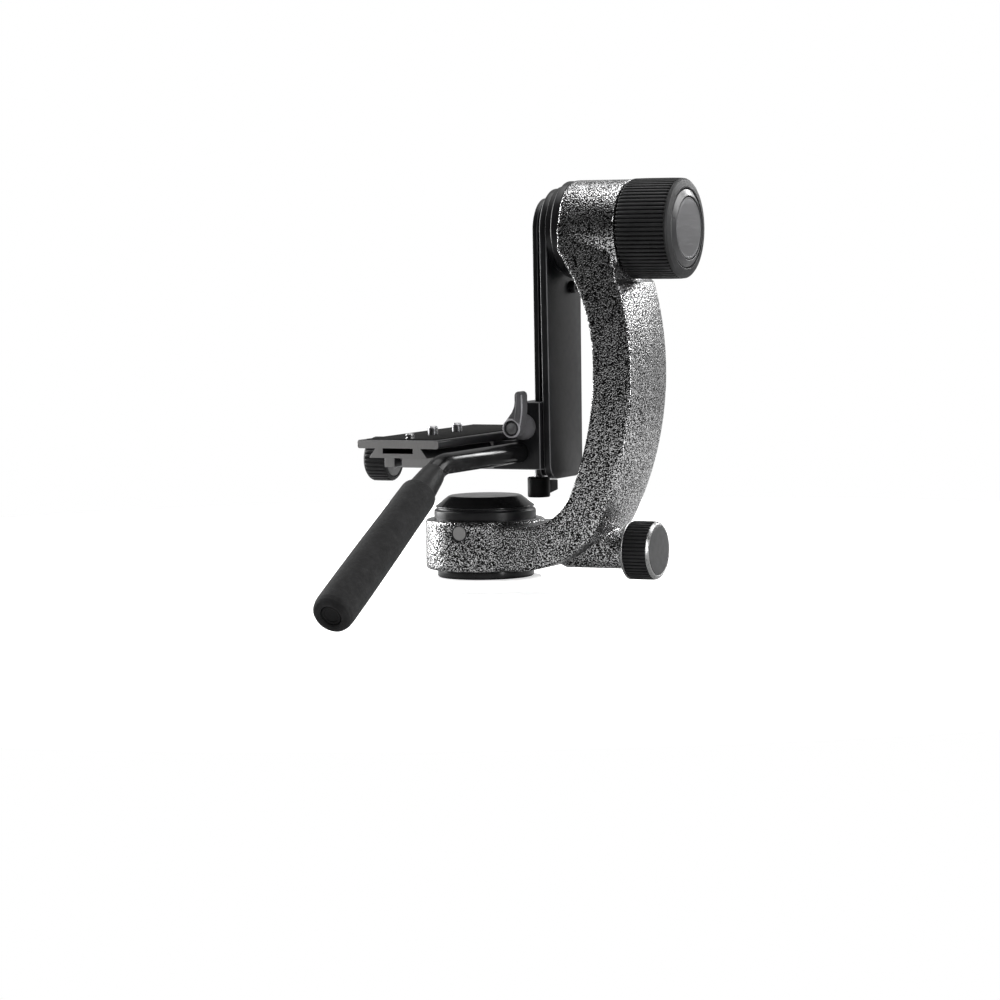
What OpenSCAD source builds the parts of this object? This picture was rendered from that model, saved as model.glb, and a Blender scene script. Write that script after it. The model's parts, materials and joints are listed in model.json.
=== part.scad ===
// Gimbal tripod head: a fluid pan base, a one-sided C-arm, a side-hung swing
// plate with a height-adjustable platform, a dovetail lens plate and a pan bar.
// Millimetres. Origin: centre of the base's underside. +Z is the pan axis,
// +X runs along the tilt axis towards the C-arm, +Y is the way the lens looks.

/* [Fits] */
// Radial clearance of shafts that turn or slide in a bore
fit = 0.05; // [0.02:0.01:0.1]
// Clearance between faces that pass each other
gap = 0.3; // [0.2:0.05:0.4]

/* [Base and hub] */
// Radius of the fixed base flange
base_r = 29.5; // [26:0.5:33]
// Thickness of the base flange
base_h = 4.6; // [4:0.2:7]
// Wall radius of the 3/8 inch tripod thread
thread_r = 4.05; // [3:0.05:4.5]
// Depth of the tripod thread
thread_len = 12; // [8:1:13]
// Radius of the pan spindle
spindle_r = 12; // [10.5:0.5:13]
// Outer radius of the round hub
hub_r = 36.5; // [34:0.5:42]
// Height of the hub casting
hub_h = 30.5; // [28:0.5:34]
// Radius of the hub's bearing bore
hub_bore_r = 19.5; // [18.5:0.5:21]
// Radius of the black collar on the hub
collar_r = 31.1; // [29:0.1:33]
// Height of the collar
collar_h = 5.8; // [5:0.2:8]
// Height of the conical cap above its groove
cap_h = 7.4; // [5:0.2:9]
// Radius of the cap's flat top
cap_top_r = 22.3; // [18:0.1:26]

/* [C-arm] */
// Height of the tilt axis above the base
tilt_z = 210; // [204:1:216]
// Farthest reach of the arm's inner edge from the pan axis
arm_inner_x = 87; // [85:0.5:90]
// Thickness of the arm at mid height
arm_t = 26; // [23:0.5:28]
// Half width of the arm's inner side
arm_half_w = 30.5; // [29:0.5:33]
// Half width of the arm's outer side
arm_outer_half_w = 26; // [24:0.5:28]
// Radius of the arm's outer arc
arm_out_r = 195; // [185:1:205]
// Radius of the inner arc below mid height
arm_low_r = 194; // [185:1:205]
// Radius of the inner arc above mid height
arm_up_r = 114.5; // [108:0.5:120]
// Radius of the arm's underside
arm_under_r = 66.6; // [62:0.2:72]
// Radius of the fillet between arm and hub top
arm_fillet_r = 34; // [28:1:38]
// Radius that crowns the arm's outer side
arm_crown_r = 130; // [90:5:200]
// Radius of the tilt barrel
barrel_r = 29.4; // [28:0.2:30]
// Pan-axis side of the tilt barrel
barrel_x0 = 65; // [64:0.5:67]
// Length of the tilt barrel
barrel_len = 36; // [32:1:38]

/* [Tilt knob] */
// Radius of the tilt knob
knob_r = 30; // [28:0.5:31]
// Length of the ridged part of the tilt knob
knob_len = 33; // [28:1:38]
// Number of ridges round the tilt knob
knob_ridges = 72; // [48:4:90]
// Depth of the grooves between the ridges
knob_groove = 0.9; // [0.4:0.1:1.4]
// Radius of the bare medallion in the knob's face
medallion_r = 18.5; // [14:0.5:21]
// Radius of the tilt shaft
shaft_r = 8; // [6.5:0.5:9]

/* [Pan lock knob] */
// Height of the pan lock's axis
lock_z = 18; // [17:0.5:19]
// Radius of the pan lock knob
lock_r = 17.7; // [15:0.1:18]
// Length of the pan lock knob
lock_len = 18.5; // [16:0.5:24]
// Reach of the lock's boss from the pan axis
boss_x = 96; // [92:0.5:100]
// Radius of the lock screw
lock_screw_r = 3; // [2.4:0.1:3.4]
// Travel of the brake shoe towards the spindle
shoe_travel = 0.7; // [0.4:0.1:0.9]

/* [Swing plate] */
// Thickness of the swing plate
plate_t = 4.6; // [3.5:0.1:5]
// Outer face of the swing plate, from the pan axis
plate_face_x = 55.4; // [55:0.1:56]
// Half width of the swing plate at its round top
plate_half_w = 24.6; // [23.5:0.1:26]
// Half width of the swing plate at its foot
plate_foot_half_w = 23; // [21.5:0.1:24.5]
// Height of the swing plate's foot above the base
plate_foot_z = 61; // [59:0.5:64]
// Half width of the dovetail rail's head
rail_half_w = 19; // [17:0.5:20]
// Half width of the rail's neck
rail_neck_half_w = 15.5; // [13:0.5:16]
// Thickness of the rail's head
rail_head_t = 3.3; // [2.6:0.1:3.8]
// Thickness of the rail with its neck
rail_t = 7.1; // [6.6:0.1:7.6]

/* [Platform] */
// Underside of the platform above the base
platform_z = 67.2; // [66:0.2:69]
// Thickness of the platform
platform_t = 12; // [11.4:0.2:12.6]
// Half length of the platform along the lens
platform_half_l = 27; // [25:0.5:30]
// Reach of the platform's free end from the pan axis
platform_reach = 42.8; // [40:0.2:46]
// Height of the upright clamp block
block_h = 40.6; // [38:0.2:46]
// Thickness of the clamp block
block_t = 14.7; // [13:0.1:16]
// Height of the lever's axis above the platform's underside
lever_rise = 25.8; // [24:0.2:28]
// Length of the height lever, axis to tip
lever_len = 22; // [18:0.5:28]

/* [Quick-release clamp] */
// Full width of the standard dovetail
dovetail_w = 38; // [36:0.5:40]
// Height of the dovetail below the plate's flange
dovetail_h = 5.5; // [5:0.1:6]
// Inward step of each dovetail flank
dovetail_step = 4; // [3:0.1:5]
// Radius of the clamp knob
qr_knob_r = 13.7; // [10:0.5:14]
// Length of the clamp knob
qr_knob_len = 16; // [12:0.5:20]
// Thickness of the moving jaw
qr_jaw_t = 6.9; // [5:0.1:9]
// Gap between the moving jaw and the platform
qr_jaw_gap = 4.8; // [4:0.1:6]

/* [Lens plate] */
// Length of the lens plate
lens_plate_l = 150; // [120:5:200]
// Width of the lens plate's flange
lens_plate_w = 53; // [46:1:54]
// Thickness of the flange
lens_plate_t = 5; // [4:0.2:7]
// Rear end of the lens plate, from the pan axis
lens_plate_back = 114.5; // [90:0.5:118]

/* [Pan bar] */
// Distance of the pan bar from the pan axis
bar_x = 36.5; // [36.3:0.1:36.6]
// Height of the pan bar above the platform's underside
bar_rise = 10.4; // [10:0.1:10.6]
// Radius of the bar's tube
bar_r = 6.2; // [5.4:0.1:6.3]
// Where the bar's two straight lengths would meet
bar_corner_y = -132; // [-150:1:-120]
// Bend radius of the tube's centre line
bar_bend_r = 34; // [26:1:50]
// Angle by which the grip dips
bar_dip = 28.4; // [15:0.2:45]
// Distance from the corner to the foam grip
grip_start = 31.5; // [28:0.5:45]
// Length of the foam grip
grip_len = 124; // [90:1:150]
// Radius of the foam grip at its narrow end
grip_r0 = 10.7; // [9:0.1:12]
// Radius of the foam grip at its far end
grip_r1 = 12; // [10:0.1:13]
// Radius of the wing knob under the bar's socket
wing_r = 6.8; // [5:0.1:7.5]
// Height of the wing knob
wing_h = 12.1; // [9:0.1:14]
// Reach of the wing beyond the knob's round body
wing_reach = 8.8; // [5:0.1:9]
// Where the wing points at rest, counted from straight across, clear of the rail
wing_turn = 75; // [72:1:110]

/* [Hidden] */
$fn = 96;

// Base and hub, from the underside up
hub_z0 = base_h + 0.4;
hub_z1 = hub_z0 + hub_h;
bush_r = thread_r + 3.4;
bush_h = thread_len + 1;
foot_r = spindle_r + 5;
foot_h = 2.4;
bearing_h = 5.4;
low_bearing_z = base_h + foot_h + 0.5;
well_z = hub_z1 - 6.5;
well_r = hub_bore_r + 4.5;
flange_bearing_z = well_z - bearing_h;
spindle_top = well_z + 0.9;
washer_r = spindle_r + 3;
washer_t = 1.6;
bolt_r = 3;
bolt_head_r = 5;
collar_z = hub_z1;
groove_h = 1;
cap_z = collar_z + collar_h + groove_h;
plug_r = 4.4;
plug_z = hub_z1 - 6.8;
foot_screw_pcr = spindle_r + 2.5;
foot_screw_r = 1.25;

// Pan lock, out along the boss
shoe_r = 4.6;
shoe_gap = shoe_travel + 0.03;
shoe_x1 = spindle_r + shoe_gap + 10;
lock_bush_len = 16;
lock_x0 = boss_x + 0.8;
lock_flange_t = 1.7;
lock_face_t = 1.8;
lock_face_r = lock_r - 2.9;
boss_half_w = 13;
boss_round = 8;
boss_z0 = hub_z0 + 2;
boss_z1 = lock_z + 11.5;

// C-arm arcs, in the XZ plane
arm_mid_z = tilt_z - 80;
arm_out_x = arm_inner_x + arm_t - arm_out_r;
arm_out_z = tilt_z - 84;
low_cx = arm_inner_x - arm_low_r;
up_cx = arm_inner_x - arm_up_r;
root_top = hub_z1 - 2.5;
fillet_z = root_top + arm_fillet_r;
fillet_swell = 0.05;
fillet_reach = arm_low_r - arm_fillet_r;
fillet_drop = arm_mid_z - fillet_z;
fillet_x = low_cx + sqrt(fillet_reach * fillet_reach - fillet_drop * fillet_drop);
tangent_x = low_cx + (fillet_x - low_cx) * arm_low_r / fillet_reach;
tangent_z = arm_mid_z - fillet_drop * arm_low_r / fillet_reach;
web_z = tilt_z - 46;
web_x = up_cx + sqrt(arm_up_r * arm_up_r - (web_z - arm_mid_z) * (web_z - arm_mid_z)) + 0.2;
web_half_w = arm_half_w - 8;
under_x = 34;
under_z = hub_z0 + 1;
under_top = hub_z0 + 18.5;
barrel_x1 = barrel_x0 + barrel_len;
barrel_bore_r = shaft_r + 7;
arm_top_cut = barrel_r + 1.8;

// Tilt knob, outwards from the barrel
knob_gap = 1;
knob_x0 = barrel_x1 + knob_gap;
knob_x1 = knob_x0 + knob_len;
knob_chamfer = 1.4;
ring_t = 1.2;
ring_r = medallion_r + 6;
nut_r = shaft_r + 4;
nut_len = 17;
shaft_x1 = knob_x0 + 20;

// Swing plate and flange, inwards from the barrel
plate_x0 = plate_face_x - plate_t;
rail_x0 = plate_x0 - rail_t;
flange_x1 = barrel_x0 - gap;
flange_step_x = flange_x1 - 4.6;
flange_r = barrel_r - 0.5;
flange_low_r = barrel_r - 3.6;
rail_foot_z = plate_foot_z + 1.5;
rail_screw_r = 2;
flange_screw_pcr = shaft_r + 6;
peg_r = 3.9;
peg_y = 11;
peg_z = tilt_z - 34.6;

// Platform, block and lever
platform_top = platform_z + platform_t;
block_x1 = plate_x0 - gap;
block_x0 = block_x1 - block_t;
block_z1 = platform_z + block_h;
channel_x0 = rail_x0 - gap;
channel_x1 = rail_x0 + rail_head_t + gap;
lever_z = platform_z + lever_rise;
lever_x = block_x0 + 4.5;
lever_y0 = -platform_half_l - gap;
lever_shaft_r = 2;
lever_hub_r = 5.7;
lever_root_r = 8;
lever_depth = 18.5;
lever_lean = 3.6;
jaw_half = 9;
jaw_play = 0.6;
jaw_x0 = lever_x;
jaw_x1 = rail_x0 - 0.02;

// Dovetail clamp
dove_z0 = platform_top + 0.2;
flange_z0 = dove_z0 + dovetail_h;
jaw_top = flange_z0 - 0.25;
half_dove = dovetail_w / 2;
qr_z = platform_z + 3.3;
qr_screw_r = 2.5;
qr_jaw_x1 = -platform_reach - qr_jaw_gap;
qr_jaw_x0 = qr_jaw_x1 - qr_jaw_t;
qr_neck = 7;
qr_knob_x1 = qr_jaw_x0 - qr_neck;
qr_knob_x0 = qr_knob_x1 - qr_knob_len;
qr_screw_x1 = 8;
qr_pin_r = 2;
qr_pin_y = platform_half_l - 9;
qr_pin_z = platform_z + 6;

// Lens plate
lens_top = flange_z0 + lens_plate_t;
lens_y0 = -lens_plate_back;
lens_y1 = lens_y0 + lens_plate_l;
pad_inset = 4;
pad_t = 1;
pad_groove = 0.6;
slot_half_w = 9.9;
slot_z0 = dove_z0 + 2.6;
slot_h = 3.1;
stud_r = 2.7;
stud_x = 3;
stud_y = lens_y0 + 10.6;
pad_top = lens_top - pad_groove + pad_t;
lens_screw_r = 3.175;
lens_shank_r = 3;
lens_screw_len = 5.1;
lens_screw_y = [lens_y0 + 46, lens_y0 + 78];

// Pan bar
bar_z = platform_z + bar_rise;
bar_y1 = 14;
bar_boss_r = bar_r + 1.8;
bend_run = bar_bend_r * tan(bar_dip / 2);
bend_swell = 0.05;
sleeve_r1 = grip_r0 - 1.5;
wing_z1 = platform_z - 6.3;
wing_screw_r = 2.5;

black = [0.07, 0.07, 0.075];
casting = [0.34, 0.34, 0.35];
grey = [0.42, 0.42, 0.44];
silver = [0.75, 0.75, 0.76];
steel = [0.6, 0.6, 0.62];
bronze = [0.66, 0.5, 0.3];
foam = [0.11, 0.11, 0.115];

// ---- Shapes that repeat -------------------------------------------------

// Round bars along each axis, from one end to the other
module bar_along_x(r, x0, x1, y = 0, z = 0)
    translate([x0, y, z]) rotate([0, 90, 0]) cylinder(r = r, h = x1 - x0);
module bar_along_y(r, y0, y1, x = 0, z = 0)
    translate([x, y0, z]) rotate([-90, 0, 0]) cylinder(r = r, h = y1 - y0);
module bar_along_z(r, z0, z1, x = 0, y = 0)
    translate([x, y, z0]) cylinder(r = r, h = z1 - z0);

// A ring between two radii along X or Z
module ring_x(ro, ri, x0, x1, z = 0)
    difference() {
        bar_along_x(ro, x0, x1, 0, z);
        bar_along_x(ri, x0 - 1, x1 + 1, 0, z);
    }
module ring_z(ro, ri, z0, z1)
    difference() {
        bar_along_z(ro, z0, z1);
        bar_along_z(ri, z0 - 1, z1 + 1);
    }

// A block between two corners
module block(x0, x1, y0, y1, z0, z1)
    translate([x0, y0, z0]) cube([x1 - x0, y1 - y0, z1 - z0]);

// A plane outline in XZ pushed along Y, or in YZ pushed along X
module push_y(y0, y1)
    translate([0, y1, 0]) rotate([90, 0, 0]) linear_extrude(y1 - y0) children();
module push_x(x0, x1)
    translate([x0, 0, 0]) rotate([90, 0, 90]) linear_extrude(x1 - x0) children();

// An outline of [radius, distance] points turned about the X axis
module turned_x(x, z, outline)
    translate([x, 0, z]) rotate([0, 90, 0]) rotate_extrude() polygon(outline);

// A rectangle with round corners
module round_rect(x0, x1, y0, y1, r) {
    translate([x0 + r, y0]) square([x1 - x0 - 2 * r, y1 - y0]);
    translate([x0, y0 + r]) square([x1 - x0, y1 - y0 - 2 * r]);
    for (x = [x0 + r, x1 - r], y = [y0 + r, y1 - r]) translate([x, y]) circle(r);
}

// A bend of a round bar that runs up +Z and turns towards +X
module turn(r, bend_r, angle)
    translate([bend_r, 0, 0]) rotate([0, 0, 180]) rotate([90, 0, 0])
        rotate_extrude(angle = angle) translate([bend_r, 0]) circle(r);

// Outline of a ridged grip: flat ridges with narrow grooves
function ridges(count, r, depth) = [
    for (i = [0:count - 1]) for (p = [[0, depth], [0.2, depth], [0.28, 0], [0.92, 0]])
        (r - p[1]) * [cos(360 * (i + p[0]) / count), sin(360 * (i + p[0]) / count)]];

// ---- Fixed base ---------------------------------------------------------

module at_base_screws()
    for (a = [45:90:315]) rotate(a) translate([foot_screw_pcr, 0, 0]) children();

module base_flange()
    color(black) difference() {
        rotate_extrude() polygon([[bush_r, 0], [base_r - 0.8, 0], [base_r, 0.8],
            [base_r, base_h], [bush_r, base_h]]);
        at_base_screws() {
            bar_along_z(foot_screw_r, -1, base_h + 1);
            bar_along_z(foot_screw_r * 2, -1, 1.6);
        }
    }

module pan_spindle()
    color(steel) difference() {
        union() {
            bar_along_z(foot_r, base_h, base_h + foot_h);
            bar_along_z(spindle_r, base_h + foot_h, spindle_top);
        }
        bar_along_z(bush_r, 0, bush_h);
        bar_along_z(bolt_r, bush_h, spindle_top + 1);
        at_base_screws() bar_along_z(foot_screw_r, base_h - 1, base_h + foot_h + 1);
    }

module thread_bush()
    color(steel) ring_z(bush_r, thread_r, 0, bush_h);

module base_screws()
    color(steel) at_base_screws() {
        bar_along_z(foot_screw_r * 2, 0.3, 1.6);
        bar_along_z(foot_screw_r, 1.6, base_h + foot_h - 0.2);
    }

module spindle_washer()
    color(steel) ring_z(washer_r, bolt_r, spindle_top, spindle_top + washer_t);

module spindle_bolt()
    color(steel) {
        bar_along_z(bolt_r, bush_h + 3, spindle_top + washer_t);
        translate([0, 0, spindle_top + washer_t]) cylinder(r = bolt_head_r, h = 3, $fn = 6);
    }

// ---- Panning frame ------------------------------------------------------

module pan_bearing_lower()
    color(bronze) ring_z(hub_bore_r, spindle_r + fit, low_bearing_z, low_bearing_z + bearing_h);

module pan_bearing_upper()
    color(bronze) ring_z(hub_bore_r, spindle_r + fit, flange_bearing_z, well_z);

// Open space inside the C, in XZ
module arm_air() {
    difference() {
        intersection() {
            translate([0, root_top]) square([arm_inner_x + 10, tilt_z]);
            union() {
                intersection() {
                    translate([low_cx, arm_mid_z]) circle(arm_low_r, $fn = 180);
                    translate([0, 0]) square([arm_inner_x + 10, arm_mid_z]);
                }
                intersection() {
                    translate([up_cx, arm_mid_z]) circle(arm_up_r, $fn = 180);
                    translate([0, arm_mid_z]) square([arm_inner_x + 10, tilt_z]);
                }
            }
        }
        polygon([[fillet_x, root_top], [tangent_x, tangent_z], [tangent_x + 20, tangent_z],
            [tangent_x + 20, root_top - 1], [fillet_x, root_top - 1]]);
    }
    translate([fillet_x, fillet_z]) circle(arm_fillet_r + fillet_swell);
}

// Side view of the arm between hub and barrel, outer edge left open
module arm_side()
    difference() {
        union() {
            translate([0, under_top]) square([150, tilt_z - under_top]);
            intersection() {
                translate([under_x, under_z + arm_under_r]) circle(arm_under_r);
                translate([0, under_z]) square([150, under_top - under_z + 1]);
            }
        }
        arm_air();
        translate([barrel_x1, tilt_z - arm_top_cut]) square([100, 100]);
        translate([0, tilt_z - barrel_r]) square([barrel_x0, 100]);
    }

// Narrower web that carries the arm's inner edge on to the barrel
module arm_web()
    polygon([[barrel_x0 + 0.5, tilt_z - 20], [web_x, web_z], [barrel_x1 - 6, web_z],
        [barrel_x1 - 6, tilt_z - 20]]);

// Cross-section that the outer arc turns: crowned outside, wider inside
module arm_section()
    intersection() {
        polygon([[0, -arm_half_w], [arm_out_r - arm_t, -arm_half_w],
            [arm_out_r, -arm_outer_half_w], [arm_out_r, arm_outer_half_w],
            [arm_out_r - arm_t, arm_half_w], [0, arm_half_w]]);
        translate([arm_out_r - arm_crown_r, 0]) circle(arm_crown_r, $fn = 180);
        translate([0, -arm_half_w]) square([arm_out_r + 1, arm_half_w * 2]);
    }

module hub_body()
    rotate_extrude() difference() {
        union() {
            translate([0, hub_z0]) square([hub_r - 2, hub_h]);
            translate([0, hub_z0 + 2]) square([hub_r, hub_h - 4]);
            for (z = [hub_z0 + 2, hub_z1 - 2]) translate([hub_r - 2, z]) circle(2, $fn = 32);
        }
        translate([-10, 0]) square([10, hub_z1 + 10]);
    }

module c_arm()
    color(casting) difference() {
        union() {
            hub_body();
            intersection() {
                translate([arm_out_x, 0, arm_out_z]) rotate([90, 0, 0])
                    rotate_extrude($fn = 180) arm_section();
                push_y(-arm_half_w - 1, arm_half_w + 1) arm_side();
            }
            push_y(-web_half_w, web_half_w) arm_web();
            bar_along_x(barrel_r, barrel_x0, barrel_x1, 0, tilt_z);
            push_x(56, boss_x) round_rect(-boss_half_w, boss_half_w, boss_z0, boss_z1, boss_round);
        }
        bar_along_z(hub_bore_r, hub_z0 - 1, well_z + 0.01);
        bar_along_z(well_r, well_z, hub_z1 + 1);
        bar_along_x(shoe_r + fit, 5, boss_x - lock_bush_len, 0, lock_z);
        bar_along_x(lock_screw_r + 2.5, boss_x - lock_bush_len - 0.01, boss_x + 1, 0, lock_z);
        bar_along_x(barrel_bore_r, barrel_x0 - 1, barrel_x1 + 1, 0, tilt_z);
        bar_along_y(plug_r, -hub_r - 1, -hub_r + 4, 0, plug_z);
    }

module hub_collar()
    color(black) difference() {
        rotate_extrude() polygon([[0, collar_z + 2.6], [washer_r + 2, collar_z + 2.6],
            [washer_r + 2, collar_z], [collar_r, collar_z], [collar_r, cap_z - groove_h - 0.7],
            [collar_r - 0.7, cap_z - groove_h], [collar_r - 1.6, cap_z - groove_h],
            [collar_r - 1.6, cap_z], [0, cap_z]]);
        bar_along_z(bolt_r, collar_z - 1, cap_z + 1);
    }

module hub_cap()
    color(black) rotate_extrude() polygon([[0, cap_z - 2.5], [bolt_r, cap_z - 2.5],
        [bolt_r, cap_z], [collar_r - 1, cap_z], [collar_r - 1, cap_z + 0.9],
        [cap_top_r, cap_z + cap_h - 0.6], [cap_top_r - 2, cap_z + cap_h - 0.15],
        [0, cap_z + cap_h]]);

module hub_plug()
    color(grey) translate([0, 0, plug_z]) rotate([90, 0, 0]) rotate_extrude()
        polygon([[0, hub_r - 4], [plug_r, hub_r - 4], [plug_r, hub_r - 0.6],
            [plug_r - 0.6, hub_r], [0, hub_r]]);

module tilt_bearing_inner()
    color(bronze) ring_x(barrel_bore_r, shaft_r + fit, barrel_x0 + 1, barrel_x0 + 10, tilt_z);

module tilt_bearing_outer()
    color(bronze) ring_x(barrel_bore_r, shaft_r + fit, barrel_x1 - 10, barrel_x1 - 1, tilt_z);

module tilt_drag_sleeve()
    color(steel)
        ring_x(barrel_bore_r, shaft_r + gap, barrel_x0 + 10.5, barrel_x1 - 10.5, tilt_z);

module lock_bush()
    color(bronze) ring_x(lock_screw_r + 2.5, lock_screw_r + fit, boss_x - lock_bush_len,
        boss_x, lock_z);

// ---- Pan lock -----------------------------------------------------------

module brake_shoe()
    color(bronze) difference() {
        bar_along_x(shoe_r, 0, shoe_x1, 0, lock_z);
        bar_along_x(lock_screw_r + fit, shoe_x1 - 6.5, shoe_x1 + 1, 0, lock_z);
        bar_along_z(spindle_r + shoe_gap, 0, hub_z1);
    }

module lock_screw()
    color(steel) bar_along_x(lock_screw_r, shoe_x1 - 5, lock_x0 + lock_len - 5, 0, lock_z);

module lock_grip()
    color(black) difference() {
        translate([lock_x0 + lock_flange_t, 0, lock_z]) rotate([90, 0, 90])
            linear_extrude(lock_len - lock_flange_t - lock_face_t)
                polygon(ridges(44, lock_r - 0.1, 0.8));
        bar_along_x(lock_screw_r, lock_x0, lock_x0 + lock_len - 5, 0, lock_z);
        bar_along_x(lock_face_r, lock_x0 + lock_len - 3, lock_x0 + lock_len, 0, lock_z);
    }

module lock_trim()
    color(silver) {
        turned_x(lock_x0, lock_z, [[lock_screw_r, 0], [lock_r - 0.6, 0], [lock_r, 0.5],
            [lock_r, lock_flange_t], [lock_screw_r, lock_flange_t]]);
        turned_x(lock_x0 + lock_len - lock_face_t, lock_z, [[lock_face_r, 0],
            [lock_r - 0.5, 0], [lock_r - 0.5, 0.3], [lock_r - 1.9, lock_face_t],
            [lock_face_r, lock_face_t]]);
    }

module lock_face()
    color(grey) turned_x(lock_x0 + lock_len - 3, lock_z, [[0, 0], [lock_face_r, 0],
        [lock_face_r, 2.7], [lock_face_r - 0.4, 3.1], [0, 3.1]]);

// ---- Swing plate and tilt shaft -----------------------------------------

module at_flange_screws()
    for (a = [45:90:315]) translate([0, flange_screw_pcr * cos(a),
        tilt_z + flange_screw_pcr * sin(a)]) children();

rail_screw_z = [rail_foot_z + 10, (rail_foot_z + tilt_z) / 2 - 8, tilt_z - 36];

module plate_outline(half_top, half_foot, foot, corner) {
    polygon([[-half_top, tilt_z], [-half_foot, foot + corner], [-half_foot + corner, foot],
        [half_foot - corner, foot], [half_foot, foot + corner], [half_top, tilt_z]]);
    translate([0, tilt_z]) circle(half_top);
    for (s = [-1, 1]) translate([s * (half_foot - corner), foot + corner]) circle(corner);
}

module swing_plate()
    color(black) difference() {
        push_x(plate_x0, plate_face_x)
            plate_outline(plate_half_w, plate_foot_half_w, plate_foot_z, 10);
        bar_along_x(shaft_r, plate_x0 - 1, plate_face_x + 1, 0, tilt_z);
        at_flange_screws() bar_along_x(rail_screw_r, plate_x0 - 1, plate_face_x + 1);
        for (z = rail_screw_z) bar_along_x(rail_screw_r, plate_x0 - 1, plate_face_x - 1, 0, z);
        bar_along_x(peg_r - 1.4, plate_x0 + 1, plate_face_x + 1, peg_y, peg_z);
    }

module swing_rail()
    color(black) difference() {
        union() {
            push_x(rail_x0, rail_x0 + rail_head_t)
                plate_outline(rail_half_w, rail_half_w, rail_foot_z, 4);
            push_x(rail_x0 + rail_head_t, plate_x0)
                plate_outline(rail_neck_half_w, rail_neck_half_w, rail_foot_z, 4);
        }
        bar_along_x(shaft_r, rail_x0 - 1, plate_x0 + 1, 0, tilt_z);
        for (z = rail_screw_z) {
            bar_along_x(rail_screw_r, rail_x0 - 1, plate_x0 + 1, 0, z);
            bar_along_x(rail_screw_r * 2, rail_x0 - 1, rail_x0 + 3, 0, z);
        }
    }

module rail_screws()
    color(steel) for (z = rail_screw_z) difference() {
        union() {
            bar_along_x(rail_screw_r * 2, rail_x0 + 0.4, rail_x0 + 3, 0, z);
            bar_along_x(rail_screw_r, rail_x0 + 3, plate_face_x - 1.2, 0, z);
        }
        translate([rail_x0, 0, z]) rotate([0, 90, 0]) cylinder(r = 1.4, h = 2, $fn = 6);
    }

module tilt_flange()
    color(black) difference() {
        turned_x(plate_face_x, tilt_z, [[shaft_r, 0], [flange_low_r, 0],
            [flange_low_r, flange_step_x - plate_face_x],
            [flange_r, flange_step_x - plate_face_x],
            [flange_r, flange_x1 - plate_face_x], [shaft_r, flange_x1 - plate_face_x]]);
        at_flange_screws() bar_along_x(rail_screw_r, plate_face_x - 1, flange_x1 - 1.5);
    }

module flange_screws()
    color(steel) at_flange_screws() bar_along_x(rail_screw_r, plate_x0 + 0.2, flange_x1 - 1.7);

module tilt_shaft()
    color(steel) difference() {
        bar_along_x(shaft_r, rail_x0 + 0.4, shaft_x1, 0, tilt_z);
        translate([rail_x0, 0, tilt_z]) rotate([0, 90, 0]) cylinder(r = 4, h = 4, $fn = 6);
        bar_along_x(rail_screw_r, shaft_x1 - 8, shaft_x1 + 1, 0, tilt_z);
    }

module stop_peg()
    color(black) {
        bar_along_x(peg_r, plate_face_x, plate_face_x + 3, peg_y, peg_z);
        bar_along_x(peg_r - 1.4, plate_x0 + 1, plate_face_x, peg_y, peg_z);
    }

module tilt_washer()
    color(steel) ring_x(knob_r - 8, shaft_r, barrel_x1 + 0.15, knob_x0 - 0.1, tilt_z);

// ---- Tilt knob ----------------------------------------------------------

module knob_nut()
    color(bronze) ring_x(nut_r, shaft_r + fit, knob_x0 + 1, knob_x0 + 1 + nut_len, tilt_z);

module knob_grip()
    color(black) difference() {
        union() {
            translate([knob_x0, 0, tilt_z]) rotate([90, 0, 90]) linear_extrude(knob_len)
                polygon(ridges(knob_ridges, knob_r, knob_groove));
            turned_x(knob_x1, tilt_z, [[0, 0], [knob_r - knob_groove, 0],
                [ring_r, knob_chamfer], [0, knob_chamfer]]);
        }
        bar_along_x(nut_r, knob_x0 - 1, knob_x0 + 1 + nut_len, 0, tilt_z);
        bar_along_x(nut_r - 1, knob_x0 + nut_len, shaft_x1 + 4, 0, tilt_z);
        bar_along_x(ring_r - 1, knob_x1 - 1.5, knob_x1 + 3, 0, tilt_z);
    }

module knob_ring()
    color(black) turned_x(knob_x1 - 1.5, tilt_z, [[medallion_r, 0], [ring_r - 1, 0],
        [ring_r - 1, knob_chamfer + 1.5], [medallion_r + 0.6, knob_chamfer + ring_t + 1.5],
        [medallion_r, knob_chamfer + ring_t + 1.5]]);

module knob_medallion()
    color(grey) bar_along_x(medallion_r, knob_x1 - 1.5, knob_x1 + knob_chamfer + ring_t - 0.2,
        0, tilt_z);

// ---- Sliding platform ---------------------------------------------------

// The fixed jaw's overhanging flank and the moving jaw's, in XZ
module fixed_jaw_outline()
    polygon([[half_dove + 0.3, platform_top - 1], [half_dove + 0.3, dove_z0 + 0.3],
        [half_dove + 0.3 - dovetail_step * (jaw_top - dove_z0 - 0.3) / dovetail_h, jaw_top],
        [block_x0 + 1, jaw_top], [block_x0 + 1, platform_top - 1]]);

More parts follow.
